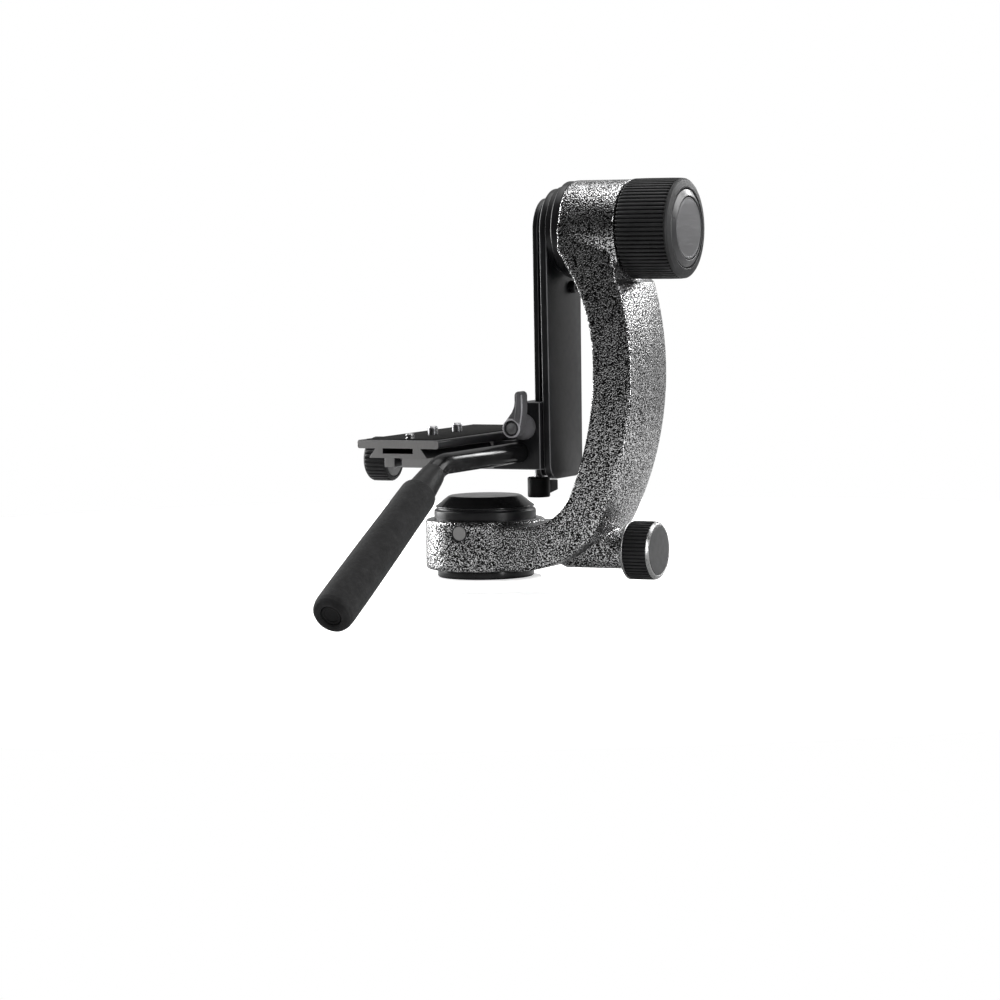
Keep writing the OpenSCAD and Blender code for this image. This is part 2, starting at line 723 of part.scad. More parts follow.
module platform_bracket()
    color(black) difference() {
        union() {
            push_y(-platform_half_l, platform_half_l) {
                translate([-platform_reach, platform_z])
                    square([platform_reach + block_x1, platform_t]);
                translate([block_x0, platform_z]) square([block_t, block_h]);
                fixed_jaw_outline();
            }
            bar_along_y(bar_boss_r, -platform_half_l, platform_half_l, bar_x, bar_z);
        }
        push_y(-platform_half_l - 1, platform_half_l + 1) {
            translate([plate_x0 - gap, platform_z - 1]) square([20, block_h + 2]);
        }
        block(channel_x0, channel_x1, -rail_half_w - gap, rail_half_w + gap,
            platform_z - 1, block_z1 + 1);
        block(channel_x1 - 0.01, block_x1 + 1, -rail_neck_half_w - gap, rail_neck_half_w + gap,
            platform_z - 1, block_z1 + 1);
        bar_along_y(bar_r + fit, -platform_half_l - 1, bar_y1 + 1, bar_x, bar_z);
        bar_along_y(lever_shaft_r + fit, -platform_half_l - 1, platform_half_l - 3,
            lever_x, lever_z);
        block(jaw_x0 - jaw_play - 0.2, channel_x0 + 1, -jaw_half - gap, jaw_half + gap,
            lever_z - 5 - gap, lever_z + 5 + gap);
        bar_along_z(wing_screw_r + fit, platform_z - 1, bar_z, bar_x);
        bar_along_x(qr_screw_r + fit, -platform_reach - 1, qr_screw_x1 + 1, 0, qr_z);
        for (s = [-1, 1]) bar_along_x(qr_pin_r, -platform_reach - 1, -platform_reach + 12,
            s * qr_pin_y, qr_pin_z);
    }

module qr_guide_pins()
    color(steel) for (s = [-1, 1]) bar_along_x(qr_pin_r, qr_jaw_x0 + 1,
        -platform_reach + 11.5, s * qr_pin_y, qr_pin_z);

// ---- Height lever -------------------------------------------------------

module lever_shaft()
    color(steel) bar_along_y(lever_shaft_r, lever_y0 - 10, platform_half_l - 3.5,
        lever_x, lever_z);

module lever_arm()
    color(grey) difference() {
        union() {
            translate([lever_x, lever_y0, lever_z]) rotate([90, 0, 0]) rotate_extrude()
                polygon([[0, 0], [lever_root_r, 0], [lever_root_r, 2.5],
                    [lever_hub_r, 9], [lever_hub_r, lever_depth], [0, lever_depth]]);
            push_y(lever_y0 - lever_depth + 1, lever_y0 - 8)
                translate([lever_x, lever_z]) {
                    polygon([[-lever_hub_r + 0.3, 2], [lever_hub_r - 0.3, 0],
                        [lever_lean + 2.6, 8], [lever_lean + 2.4, lever_len - 2.4],
                        [lever_lean - 2.4, lever_len - 2.4], [lever_lean - 2.4, 12],
                        [-2.4, 6]]);
                    translate([lever_lean, lever_len - 2.4]) circle(2.4, $fn = 32);
                }
        }
        bar_along_y(lever_shaft_r, lever_y0 - 10, lever_y0 + 1, lever_x, lever_z);
        bar_along_y(4.2, lever_y0 - lever_depth - 1, lever_y0 - lever_depth + 3,
            lever_x, lever_z);
    }

module lever_screw()
    color(steel) difference() {
        bar_along_y(4, lever_y0 - lever_depth + 0.3, lever_y0 - lever_depth + 3,
            lever_x, lever_z);
        bar_along_y(1.5, lever_y0 - lever_depth - 1, lever_y0 - lever_depth + 1.6,
            lever_x, lever_z, $fn = 6);
    }

module rail_jaw()
    color(bronze) difference() {
        block(jaw_x0, jaw_x1, -jaw_half, jaw_half, lever_z - 5, lever_z + 5);
        bar_along_y(lever_shaft_r + jaw_play + 0.15, -jaw_half - 1, jaw_half + 1,
            lever_x, lever_z);
    }

// ---- Quick-release clamp ------------------------------------------------

module qr_jaw()
    color(grey) difference() {
        push_y(-platform_half_l, platform_half_l)
            polygon([[qr_jaw_x0, platform_z + 0.1], [qr_jaw_x1, platform_z + 0.1],
                [qr_jaw_x1, platform_top + gap], [-half_dove - 0.3, platform_top + gap],
                [-half_dove - 0.3 + dovetail_step * (jaw_top - dove_z0 - 0.3) / dovetail_h,
                    jaw_top], [qr_jaw_x0, jaw_top]]);
        bar_along_x(qr_screw_r + fit, qr_jaw_x0 - 1, qr_jaw_x1 + 1, 0, qr_z);
        for (s = [-1, 1]) bar_along_x(qr_pin_r + fit, qr_jaw_x0 - 1, qr_jaw_x1 + 1,
            s * qr_pin_y, qr_pin_z);
    }

module qr_screw()
    color(steel) bar_along_x(qr_screw_r, qr_knob_x0 + 4, qr_screw_x1, 0, qr_z);

module qr_hub()
    color(grey) difference() {
        turned_x(qr_knob_x1 - 2, qr_z, [[0, 0], [qr_knob_r - 3, 0], [qr_knob_r - 3, 2],
            [6, 2], [5, 2 + qr_neck - fit], [0, 2 + qr_neck - fit]]);
        bar_along_x(qr_screw_r, qr_knob_x1 - 3, qr_jaw_x0 + 1, 0, qr_z);
    }

module qr_grip()
    color(black) difference() {
        union() {
            translate([qr_knob_x0 + 2.5, 0, qr_z]) rotate([90, 0, 90])
                linear_extrude(qr_knob_len - 3.5) polygon(ridges(30, qr_knob_r, 0.8));
            turned_x(qr_knob_x0, qr_z, [[0, 0], [qr_knob_r - 2.2, 0],
                [qr_knob_r - 0.1, 2], [qr_knob_r - 0.1, 2.5], [0, 2.5]]);
            turned_x(qr_knob_x1 - 1, qr_z, [[0, 0], [qr_knob_r - 0.1, 0],
                [qr_knob_r - 0.8, 1], [0, 1]]);
        }
        bar_along_x(qr_screw_r, qr_knob_x0 + 4, qr_knob_x1 + 1, 0, qr_z);
        bar_along_x(qr_knob_r - 3, qr_knob_x1 - 2, qr_knob_x1 + 1, 0, qr_z);
    }

// ---- Lens plate ---------------------------------------------------------

module lens_plate()
    color(grey) difference() {
        push_y(lens_y0, lens_y1) {
            translate([-lens_plate_w / 2, flange_z0]) square([lens_plate_w, lens_plate_t]);
            polygon([[-half_dove, dove_z0], [half_dove, dove_z0],
                [half_dove - dovetail_step, flange_z0 + 0.01],
                [-half_dove + dovetail_step, flange_z0 + 0.01]]);
        }
        block(-slot_half_w, slot_half_w, lens_y0 - 1, lens_y1 - 12, slot_z0, slot_z0 + slot_h);
        bar_along_z(stud_r, slot_z0 + slot_h + 1, lens_top + 1, stud_x, stud_y);
        for (y = lens_screw_y) bar_along_z(lens_shank_r, slot_z0, lens_top + 1, 0, y);
        block(-lens_plate_w / 2 + pad_inset, lens_plate_w / 2 - pad_inset,
            lens_y0 + pad_inset, lens_y1 - pad_inset, lens_top - pad_groove, lens_top + 1);
    }

module lens_pad()
    color(foam) difference() {
        block(-lens_plate_w / 2 + pad_inset, lens_plate_w / 2 - pad_inset,
            lens_y0 + pad_inset, lens_y1 - pad_inset, lens_top - pad_groove, pad_top);
        bar_along_z(stud_r, lens_top - 2, lens_top + 2, stud_x, stud_y);
        for (y = lens_screw_y)
            bar_along_z(lens_screw_r + fit, lens_top - 2, lens_top + 2, 0, y);
    }

module plate_stud()
    color(silver) bar_along_z(stud_r, slot_z0 + slot_h + 1, lens_top + 3.4, stud_x, stud_y);

module lens_screws()
    color(steel) for (y = lens_screw_y) {
        bar_along_z(lens_screw_r, pad_top, pad_top + lens_screw_len, 0, y);
        bar_along_z(lens_shank_r, slot_z0 + slot_h - 0.6, pad_top, 0, y);
        bar_along_z(lens_shank_r + 3, slot_z0 + 0.4, slot_z0 + slot_h - 0.6, 0, y);
    }

// ---- Pan bar ------------------------------------------------------------

// Frame at the bar's corner, with +Z running down the grip
module down_grip()
    translate([bar_x, bar_corner_y, bar_z]) rotate([90 + bar_dip, 0, 0]) children();

module bar_tube()
    color(black) {
        bar_along_y(bar_r, bar_corner_y + bend_run - 1, bar_y1, bar_x, bar_z);
        translate([bar_x, bar_corner_y + bend_run, bar_z]) rotate([90, 0, 0])
            rotate([0, 0, -90]) turn(bar_r + bend_swell, bar_bend_r, bar_dip);
        down_grip() translate([0, 0, bend_run - 1])
            cylinder(r = bar_r, h = grip_start + grip_len - bend_run - 5);
    }

module bar_sleeve()
    color(black) down_grip() rotate_extrude() polygon([[bar_r, bend_run + 1],
        [bar_r + 0.5, bend_run + 1], [bar_r + 1.2, bend_run + 6], [sleeve_r1, grip_start],
        [sleeve_r1, grip_start + 4], [bar_r, grip_start + 4]]);

module bar_grip()
    color(foam) down_grip() difference() {
        rotate_extrude() polygon([[bar_r, grip_start], [grip_r0 - 0.9, grip_start],
            [grip_r0, grip_start + 2.2], [grip_r1, grip_start + grip_len * 0.72],
            [grip_r1, grip_start + grip_len - 6],
            [grip_r1 - 0.7, grip_start + grip_len - 2.6],
            [grip_r1 - 2.4, grip_start + grip_len - 0.6],
            [grip_r1 - 4.4, grip_start + grip_len], [bar_r, grip_start + grip_len]]);
        cylinder(r = sleeve_r1, h = grip_start + 4);
    }

module bar_end()
    color(black) down_grip() translate([0, 0, grip_start + grip_len - 6])
        cylinder(r = bar_r, h = 5);

module wing_knob()
    color(black) difference() {
        union() {
            bar_along_z(wing_r, wing_z1 - wing_h, wing_z1, bar_x);
            translate([bar_x, 0, 0]) rotate([0, 0, wing_turn]) push_y(-2.2, 2.2)
                polygon([[0, wing_z1 - 2.4], [wing_r + wing_reach, wing_z1 - 2.4],
                    [wing_r + wing_reach, wing_z1 - 8.6],
                    [wing_r, wing_z1 - wing_h + 1.4], [0, wing_z1 - wing_h + 1.4]]);
        }
        bar_along_z(wing_screw_r, wing_z1 - 8, wing_z1 + 1, bar_x);
    }

module wing_screw()
    color(steel) bar_along_z(wing_screw_r, wing_z1 - 8, bar_z - bar_r - 0.1, bar_x);

base_flange();
pan_spindle();
thread_bush();
base_screws();
spindle_washer();
spindle_bolt();
pan_bearing_lower();
pan_bearing_upper();
c_arm();
hub_collar();
hub_cap();
hub_plug();
tilt_bearing_inner();
tilt_bearing_outer();
tilt_drag_sleeve();
lock_bush();
brake_shoe();
lock_screw();
lock_grip();
lock_trim();
lock_face();
swing_plate();
swing_rail();
rail_screws();
tilt_flange();
flange_screws();
tilt_shaft();
stop_peg();
tilt_washer();
knob_nut();
knob_grip();
knob_ring();
knob_medallion();
platform_bracket();
qr_guide_pins();
lever_shaft();
lever_arm();
lever_screw();
rail_jaw();
qr_jaw();
qr_screw();
qr_grip();
qr_hub();
lens_plate();
lens_pad();
plate_stud();
lens_screws();
bar_tube();
bar_sleeve();
bar_grip();
bar_end();
wing_knob();
wing_screw();
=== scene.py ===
"""Looks of a gimbal tripod head: enamel, ridged knobs, dovetail plate and pan bar."""

import json
import math

import bmesh
import bpy
from bpy.props import (FloatProperty, FloatVectorProperty, IntProperty,
                       PointerProperty)
from mathutils import Matrix, Vector


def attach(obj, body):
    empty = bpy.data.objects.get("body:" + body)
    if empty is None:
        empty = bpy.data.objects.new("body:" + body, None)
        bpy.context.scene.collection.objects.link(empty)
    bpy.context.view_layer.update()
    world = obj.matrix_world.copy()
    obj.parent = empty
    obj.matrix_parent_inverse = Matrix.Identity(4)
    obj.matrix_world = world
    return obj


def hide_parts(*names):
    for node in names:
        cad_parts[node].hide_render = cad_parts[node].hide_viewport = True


bl_info = {
    "name": "Gimbal head looks",
    "version": (1, 0, 0),
    "blender": (4, 5, 0),
    "location": "View3D > Sidebar > Gimbal",
    "description": "Dresses the packed gimbal tripod head with detailed pieces and finishes",
    "category": "Object",
}

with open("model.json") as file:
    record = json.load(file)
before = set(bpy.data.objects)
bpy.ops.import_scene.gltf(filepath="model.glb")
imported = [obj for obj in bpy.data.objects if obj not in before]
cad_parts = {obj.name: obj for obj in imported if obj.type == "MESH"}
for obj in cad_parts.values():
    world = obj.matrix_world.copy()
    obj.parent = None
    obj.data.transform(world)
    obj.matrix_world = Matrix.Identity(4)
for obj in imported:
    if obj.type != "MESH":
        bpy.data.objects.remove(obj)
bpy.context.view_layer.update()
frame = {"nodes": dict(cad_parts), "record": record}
MM = 0.001

# Where things stand, in millimetres and degrees, as in the part's source
PLUG_Z = 28.7
SCREW_CIRCLE_R = 14.5
TILT_Z = 210.0
KNOB_X = 102.0
LOCK_X = 96.8
LOCK_Z = 18.0
RAIL_X = 43.7
PLATE_X = 50.8
FLANGE_X = 55.4
PEG_Y = 11.0
PEG_DROP = 34.6
PIVOT_X = 40.3
PIVOT_Z = 93.0
CLAMP_KNOB_X = -77.5
CLAMP_Z = 70.5
STUD_X = 3.0
STUD_Y = -103.9
LENS_SCREWS_Y = (-68.5, -36.5)
THREAD_TURNS = 7
THREAD_PITCH = 0.62
PAD_FOOT_Z = 89.3
BAR_X = 36.5
BAR_Z = 77.6
BAR_CORNER_Y = -132.0
BAR_DIP = 28.4
BAR_BEND_R = 34.0
TUBE_R = 6.2
FOAM_START = 31.5
FOAM_LENGTH = 124.0
WING_TURN = 75.0
FLOOR_Z = -8.0

# How meshes are made; angles in degrees
EASE_STEPS = 4
BEVEL_STEPS = 3
BEND_STEPS = 16
SHARP_ANGLE = 32.0
SOFT_ANGLE = 50.0
LEVER_VOXEL = 0.00034
SMOOTH_ROUNDS = 5
FLAT = 0.94
TINY = 1e-6


# ---- Sizes and colours that a user would change ----

class GimbalFinishSettings(bpy.types.PropertyGroup):
    enamel_light: FloatVectorProperty(
        name="Enamel light", description="Silver of the hammered enamel", subtype="COLOR",
        size=3, min=0, max=1, default=(0.86, 0.86, 0.865))
    enamel_dark: FloatVectorProperty(
        name="Enamel dark", description="Black veins of the hammered enamel",
        subtype="COLOR", size=3, min=0, max=1, default=(0.007, 0.007, 0.0072))
    enamel_cell: FloatProperty(
        name="Enamel cell", description="Size of one cell of the hammered enamel",
        default=0.0008, min=0.0005, max=0.005, unit="LENGTH", precision=4)
    satin_black: FloatVectorProperty(
        name="Satin black", description="Anodised plates, rail and platform",
        subtype="COLOR", size=3, min=0, max=1, default=(0.008, 0.008, 0.009))
    moulded_black: FloatVectorProperty(
        name="Moulded black", description="Knobs and other moulded pieces",
        subtype="COLOR", size=3, min=0, max=1, default=(0.017, 0.017, 0.0178))
    plate_grey: FloatVectorProperty(
        name="Plate grey", description="Bare sawn ends and hub plug", subtype="COLOR",
        size=3, min=0, max=1, default=(0.22, 0.217, 0.215))
    lever_grey: FloatVectorProperty(
        name="Lever grey", description="Height lever and its edges", subtype="COLOR",
        size=3, min=0, max=1, default=(0.08, 0.079, 0.083))


class GimbalShapeSettings(bpy.types.PropertyGroup):
    knob_ridges: IntProperty(
        name="Knob ridges", description="Ridges round the tilt knob", default=72, min=40,
        max=90)
    lock_ridges: IntProperty(
        name="Lock ridges", description="Ridges round the pan lock knob", default=48,
        min=30, max=60)
    clamp_ridges: IntProperty(
        name="Clamp ridges", description="Ridges round the clamp knob", default=32, min=20,
        max=40)
    casting_voxel: FloatProperty(
        name="Casting voxel", description="Grain at which the casting's edges are rounded",
        default=0.001, min=0.0008, max=0.003, unit="LENGTH", precision=4)


# ---- Frames: local Z is the axis a piece is turned about or pushed along ----

def across(x=0.0, y=0.0, z=0.0):
    """Local Z along +X; local X is +Y and local Y is +Z."""
    return Matrix(((0, 0, 1, x), (1, 0, 0, y), (0, 1, 0, z), (0, 0, 0, 1)))


def rearward(x=0.0, y=0.0, z=0.0):
    """Local Z along -Y; local X is +X and local Y is +Z."""
    return Matrix(((1, 0, 0, x), (0, 0, -1, y), (0, 1, 0, z), (0, 0, 0, 1)))


def upward(x=0.0, y=0.0, z=0.0):
    return Matrix.Translation((x, y, z))


def down_the_grip():
    """Local Z runs down the bar's grip from its corner."""
    return (Matrix.Translation((BAR_X, BAR_CORNER_Y, BAR_Z))
            @ Matrix.Rotation(math.radians(90 + BAR_DIP), 4, "X"))


# ---- Mesh making ----

def linked(name, data):
    made = bpy.data.objects.new(name, data)
    bpy.context.scene.collection.objects.link(made)
    return made


def discard(piece):
    mesh = piece.data
    bpy.data.objects.remove(piece)
    bpy.data.meshes.remove(mesh)


def shade(piece, angle):
    piece.data.shade_smooth()
    piece.data.set_sharp_from_angle(angle=math.radians(angle))
    return piece


def piece_from(bm, name, place, angle=SHARP_ANGLE):
    """A linked object from bmesh data in millimetres."""
    bm.transform(place)
    bm.transform(Matrix.Scale(MM, 4))
    bmesh.ops.recalc_face_normals(bm, faces=bm.faces)
    mesh = bpy.data.meshes.new(name)
    bm.to_mesh(mesh)
    bm.free()
    return shade(linked(name, mesh), angle)


def eased(points, radius, closed=False):
    """The outline with each corner rounded by at most the radius."""
    count = len(points)
    result = []
    for i, here in enumerate(points):
        here = Vector(here)
        if not closed and i in (0, count - 1):
            result.append(tuple(here))
            continue
        before = Vector(points[i - 1])
        after = Vector(points[(i + 1) % count])
        a, b = before - here, after - here
        if a.length < TINY or b.length < TINY:
            continue
        turn = a.angle(b)
        if turn > math.radians(170):
            result.append(tuple(here))
            continue
        reach = min(radius / math.tan(turn / 2), 0.45 * a.length, 0.45 * b.length)
        start, end = here + a.normalized() * reach, here + b.normalized() * reach
        for k in range(EASE_STEPS + 1):
            t = k / EASE_STEPS
            result.append(tuple((1 - t) ** 2 * start + 2 * t * (1 - t) * here + t * t * end))
    return result


def skin(bm, low, high):
    """Faces between two loops that have as many vertices."""
    for k in range(len(low)):
        m = (k + 1) % len(low)
        bm.faces.new((low[k], low[m], high[m], high[k]))


def turned_mesh(profile, steps, closed=False):
    """Bmesh of a profile of (radius, distance) turned about local Z."""
    bm = bmesh.new()
    rings = []
    for radius, height in profile:
        if radius < 1e-5:
            rings.append([bm.verts.new((0, 0, height))])
            continue
        turns = [2 * math.pi * k / steps for k in range(steps)]
        rings.append([bm.verts.new((radius * math.cos(t), radius * math.sin(t), height))
                      for t in turns])
    pairs = list(zip(rings, rings[1:]))
    if closed:
        pairs.append((rings[-1], rings[0]))
    for low, high in pairs:
        if len(low) == len(high) > 1:
            skin(bm, low, high)
        elif len(low) != len(high):
            for k in range(steps):
                m = (k + 1) % steps
                bm.faces.new((low[0], high[m], high[k]) if len(low) == 1
                             else (low[k], low[m], high[0]))
    return bm


def turned(name, profile, place, edge, steps=96, closed=False):
    """A piece whose profile, with eased corners, is turned about local Z."""
    return piece_from(turned_mesh(eased(profile, edge, closed), steps, closed), name, place)


def ring(name, profile, place, edge, steps=96):
    """A turned piece with a hole along its axis: its profile is a closed loop."""
    return turned(name, profile, place, edge, steps, closed=True)


def prism(name, outline, low, high, place, edge):
    """An outline pushed from low to high along local Z, with eased rims."""
    bm = bmesh.new()
    floor = [bm.verts.new((x, y, low)) for x, y in outline]
    roof = [bm.verts.new((x, y, high)) for x, y in outline]
    bm.faces.new(list(reversed(floor)))
    bm.faces.new(roof)
    skin(bm, floor, roof)
    if edge:
        bm.normal_update()
        sharp = [e for e in bm.edges if e.calc_face_angle(0) > math.radians(30)]
        bmesh.ops.bevel(bm, geom=sharp, offset=edge, offset_type="OFFSET",
                        segments=BEVEL_STEPS, profile=0.5, affect="EDGES",
                        clamp_overlap=True)
    return piece_from(bm, name, place)


def tube(name, path, radius, steps=64):
    """A closed tube along a path that keeps to one X."""
    bm = bmesh.new()
    rings = []
    side = Vector((1, 0, 0))
    for i, spot in enumerate(path):
        ahead = (path[min(i + 1, len(path) - 1)] - path[max(i - 1, 0)]).normalized()
        up = side.cross(ahead).normalized()
        rings.append([bm.verts.new(spot + radius * (math.cos(t) * side + math.sin(t) * up))
                      for t in (2 * math.pi * k / steps for k in range(steps))])
    for low, high in zip(rings, rings[1:]):
        skin(bm, low, high)
    bm.faces.new(rings[0])
    bm.faces.new(rings[-1])
    return piece_from(bm, name, upward())


def box_outline(x0, x1, y0, y1):
    return [(x0, y0), (x1, y0), (x1, y1), (x0, y1)]


def arc(cx, cy, radius, start, end, steps):
    return [(cx + radius * math.cos(math.radians(start + (end - start) * k / steps)),
             cy + radius * math.sin(math.radians(start + (end - start) * k / steps)))
            for k in range(steps + 1)]


def bore(radius, low, high, place, steps=32):
    """A round cutter."""
    return turned("cut", [(0, low), (radius, low), (radius, high), (0, high)], place, 0,
                  steps)


def block(x0, x1, y0, y1, low, high, place):
    """A square cutter."""
    return prism("cut", box_outline(x0, x1, y0, y1), low, high, place, 0)


def joined(name, *pieces, angle=SHARP_ANGLE):
    """One object from several."""
    bm = bmesh.new()
    for piece in pieces:
        bm.from_mesh(piece.data)
        discard(piece)
    mesh = bpy.data.meshes.new(name)
    bm.to_mesh(mesh)
    bm.free()
    return shade(linked(name, mesh), angle)


def baked(piece):
    """The piece with its modifiers made part of its mesh."""
    graph = bpy.context.evaluated_depsgraph_get()
    mesh = bpy.data.meshes.new_from_object(piece.evaluated_get(graph))
    piece.modifiers.clear()
    old = piece.data
    piece.data = mesh
    bpy.data.meshes.remove(old)
    mesh.name = piece.name
    return piece


def carved(piece, cutters, angle=SHARP_ANGLE):
    """The piece less its cutters."""
    for cutter in cutters:
        cut = piece.modifiers.new("cut", "BOOLEAN")
        cut.operation = "DIFFERENCE"
        cut.solver = "EXACT"
        cut.object = cutter
    baked(piece)
    for cutter in cutters:
        discard(cutter)
    bm = bmesh.new()
    bm.from_mesh(piece.data)
    bmesh.ops.remove_doubles(bm, verts=bm.verts, dist=TINY)
    bmesh.ops.dissolve_limit(bm, angle_limit=math.radians(1), verts=bm.verts,
                             edges=bm.edges)
    bm.to_mesh(piece.data)
    bm.free()
    return shade(piece, angle)


def remeshed(piece, voxel, angle=180.0):
    """The piece as one closed skin with softly rounded edges."""
    melt = piece.modifiers.new("melt", "REMESH")
    melt.mode = "VOXEL"
    melt.voxel_size = voxel
    melt.adaptivity = 0.0
    soften = piece.modifiers.new("soften", "SMOOTH")
    soften.factor = 0.5
    soften.iterations = SMOOTH_ROUNDS
    return shade(baked(piece), angle)


def copy_of(node, name):
    """A merged copy of a CAD node's mesh."""
    mesh = frame["nodes"][node].data.copy()
    bm = bmesh.new()
    bm.from_mesh(mesh)
    bmesh.ops.remove_doubles(bm, verts=bm.verts, dist=TINY)
    bm.to_mesh(mesh)
    bm.free()
    mesh.name = name
    return linked(name, mesh)


def mark_painted_highlight(piece, axis=None):
    """Marks the middle of every bevel, or of the rims round one axis, for a painted
    highlight.
    """
    mesh = piece.data
    marks = mesh.attributes.new("rubbed", "FLOAT", "POINT")
    for spot, mark in zip(mesh.vertices, marks.data):
        if axis is None:
            mark.value = float(max(abs(v) for v in spot.normal) < FLAT)
        else:
            mark.value = float(0.3 < abs(spot.normal[axis]) < FLAT)
    return piece


def settle(piece, finish, body, slot, *nodes):
    """Gives the piece its finish and its body and hides the nodes it stands for; slot is not
    used.
    """
    if not piece.data.polygons:
        raise RuntimeError(piece.name + " came out empty")
    piece.data.materials.clear()
    piece.data.materials.append(FINISHES[finish])
    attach(piece, body)
    if nodes:
        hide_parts(*nodes)


# ---- Nodes ----

class Nodes:
    """A node tree being filled."""

    def __init__(self, tree):
        self.tree = tree

    def feed(self, socket, value):
        """Sets the socket, or links a socket or a node's first output to it."""
        if isinstance(value, bpy.types.Node):
            value = value.outputs[0]
        if isinstance(value, bpy.types.NodeSocket):
            self.tree.links.new(value, socket)
        else:
            socket.default_value = value

    def add(self, kind, inputs=None, **settings):
        """A new node with its settings and with its inputs, by name or place, fed."""
        made = self.tree.nodes.new(kind)
        for key, value in settings.items():
            setattr(made, key, value)
        for key, value in (inputs or {}).items():
            self.feed(made.inputs[key], value)
        return made

    def maths(self, operation, *values):
        return self.add("ShaderNodeMath", dict(enumerate(values)), operation=operation)

    def ramp(self, value, *stops):
        """A colour ramp; a stop is its place and its colour or grey level."""
        made = self.add("ShaderNodeValToRGB", {0: value})
        band = made.color_ramp
        while len(band.elements) < len(stops):
            band.elements.new(0.5)
        for element, (place, colour) in zip(band.elements, stops):
            element.position = place
            if isinstance(colour, (int, float)):
                colour = (colour, colour, colour)
            element.color = (*colour, 1.0)
        return made

    def mix(self, share, low, high):
        return self.add("ShaderNodeMixShader", {0: share, 1: low, 2: high})


# ---- Ridged grips by Geometry Nodes ----

def ridge_tree():
    """Node tree that sets rounded ridges round a grip whose axis runs along X."""
    name = "ridges_round_a_grip"
    if name in bpy.data.node_groups:
        return bpy.data.node_groups[name]
    tree = bpy.data.node_groups.new(name, "GeometryNodeTree")
    for label, kind in (("Core", "Geometry"), ("Count", "Int"), ("Radius", "Float"),
                        ("Start", "Float"), ("Length", "Float"), ("Width", "Float"),
                        ("Height", "Float"), ("Axis height", "Float")):
        tree.interface.new_socket(label, in_out="INPUT", socket_type="NodeSocket" + kind)
    tree.interface.new_socket("Grip", in_out="OUTPUT", socket_type="NodeSocketGeometry")
    made = Nodes(tree)
    given = made.add("NodeGroupInput").outputs
    angle = made.maths("DIVIDE", made.maths("MULTIPLY", made.add("GeometryNodeInputIndex"),
                                            2 * math.pi), given["Count"])
    reach = made.maths("SUBTRACT", given["Radius"],
                       made.maths("MULTIPLY", given["Height"], 0.5))
    middle = made.maths("ADD", given["Start"], made.maths("MULTIPLY", given["Length"], 0.5))
    spot = made.add("ShaderNodeCombineXYZ", {
        0: middle, 1: made.maths("MULTIPLY", made.maths("COSINE", angle), reach),
        2: made.maths("ADD", made.maths("MULTIPLY", made.maths("SINE", angle), reach),
                      given["Axis height"])})
    points = made.add("GeometryNodePoints", {"Count": given["Count"], "Position": spot})
    size = made.add("ShaderNodeCombineXYZ", {
        0: given["Length"], 1: given["Width"], 2: given["Height"]})
    bar = made.add("GeometryNodeMeshCube", {"Size": size})
    rounded = made.add("GeometryNodeSubdivisionSurface", {
        "Mesh": bar, "Level": 2, "Edge Crease": 0.82})
    smooth = made.add("GeometryNodeSetShadeSmooth", {"Geometry": rounded})
    turn = made.add("ShaderNodeCombineXYZ", {0: made.maths("SUBTRACT", angle, math.pi / 2)})
    placed = made.add("GeometryNodeInstanceOnPoints", {
        "Points": points, "Instance": smooth, "Rotation": turn})
    both = made.add("GeometryNodeJoinGeometry", {0: placed})
    made.feed(both.inputs[0], given["Core"])
    real = made.add("GeometryNodeRealizeInstances", {0: both})
    made.add("NodeGroupOutput", {0: real})
    return tree


def ridge_width(share, radius, count):
    """Width of one ridge that takes up a share of its pitch."""
    return share * 2 * math.pi * radius / count


def ridged(core, count, **sizes):
    """The core with ridges set round it, as one plain mesh; sizes in millimetres."""
    tree = ridge_tree()
    ridge = core.modifiers.new("ridges", "NODES")
    ridge.node_group = tree
    named = {item.name: item.identifier for item in tree.interface.items_tree
             if item.in_out == "INPUT"}
    ridge[named["Count"]] = count
    for label, value in sizes.items():
        ridge[named[label.replace("_", " ")]] = value * MM
    return baked(core)


# ---- Finishes ----

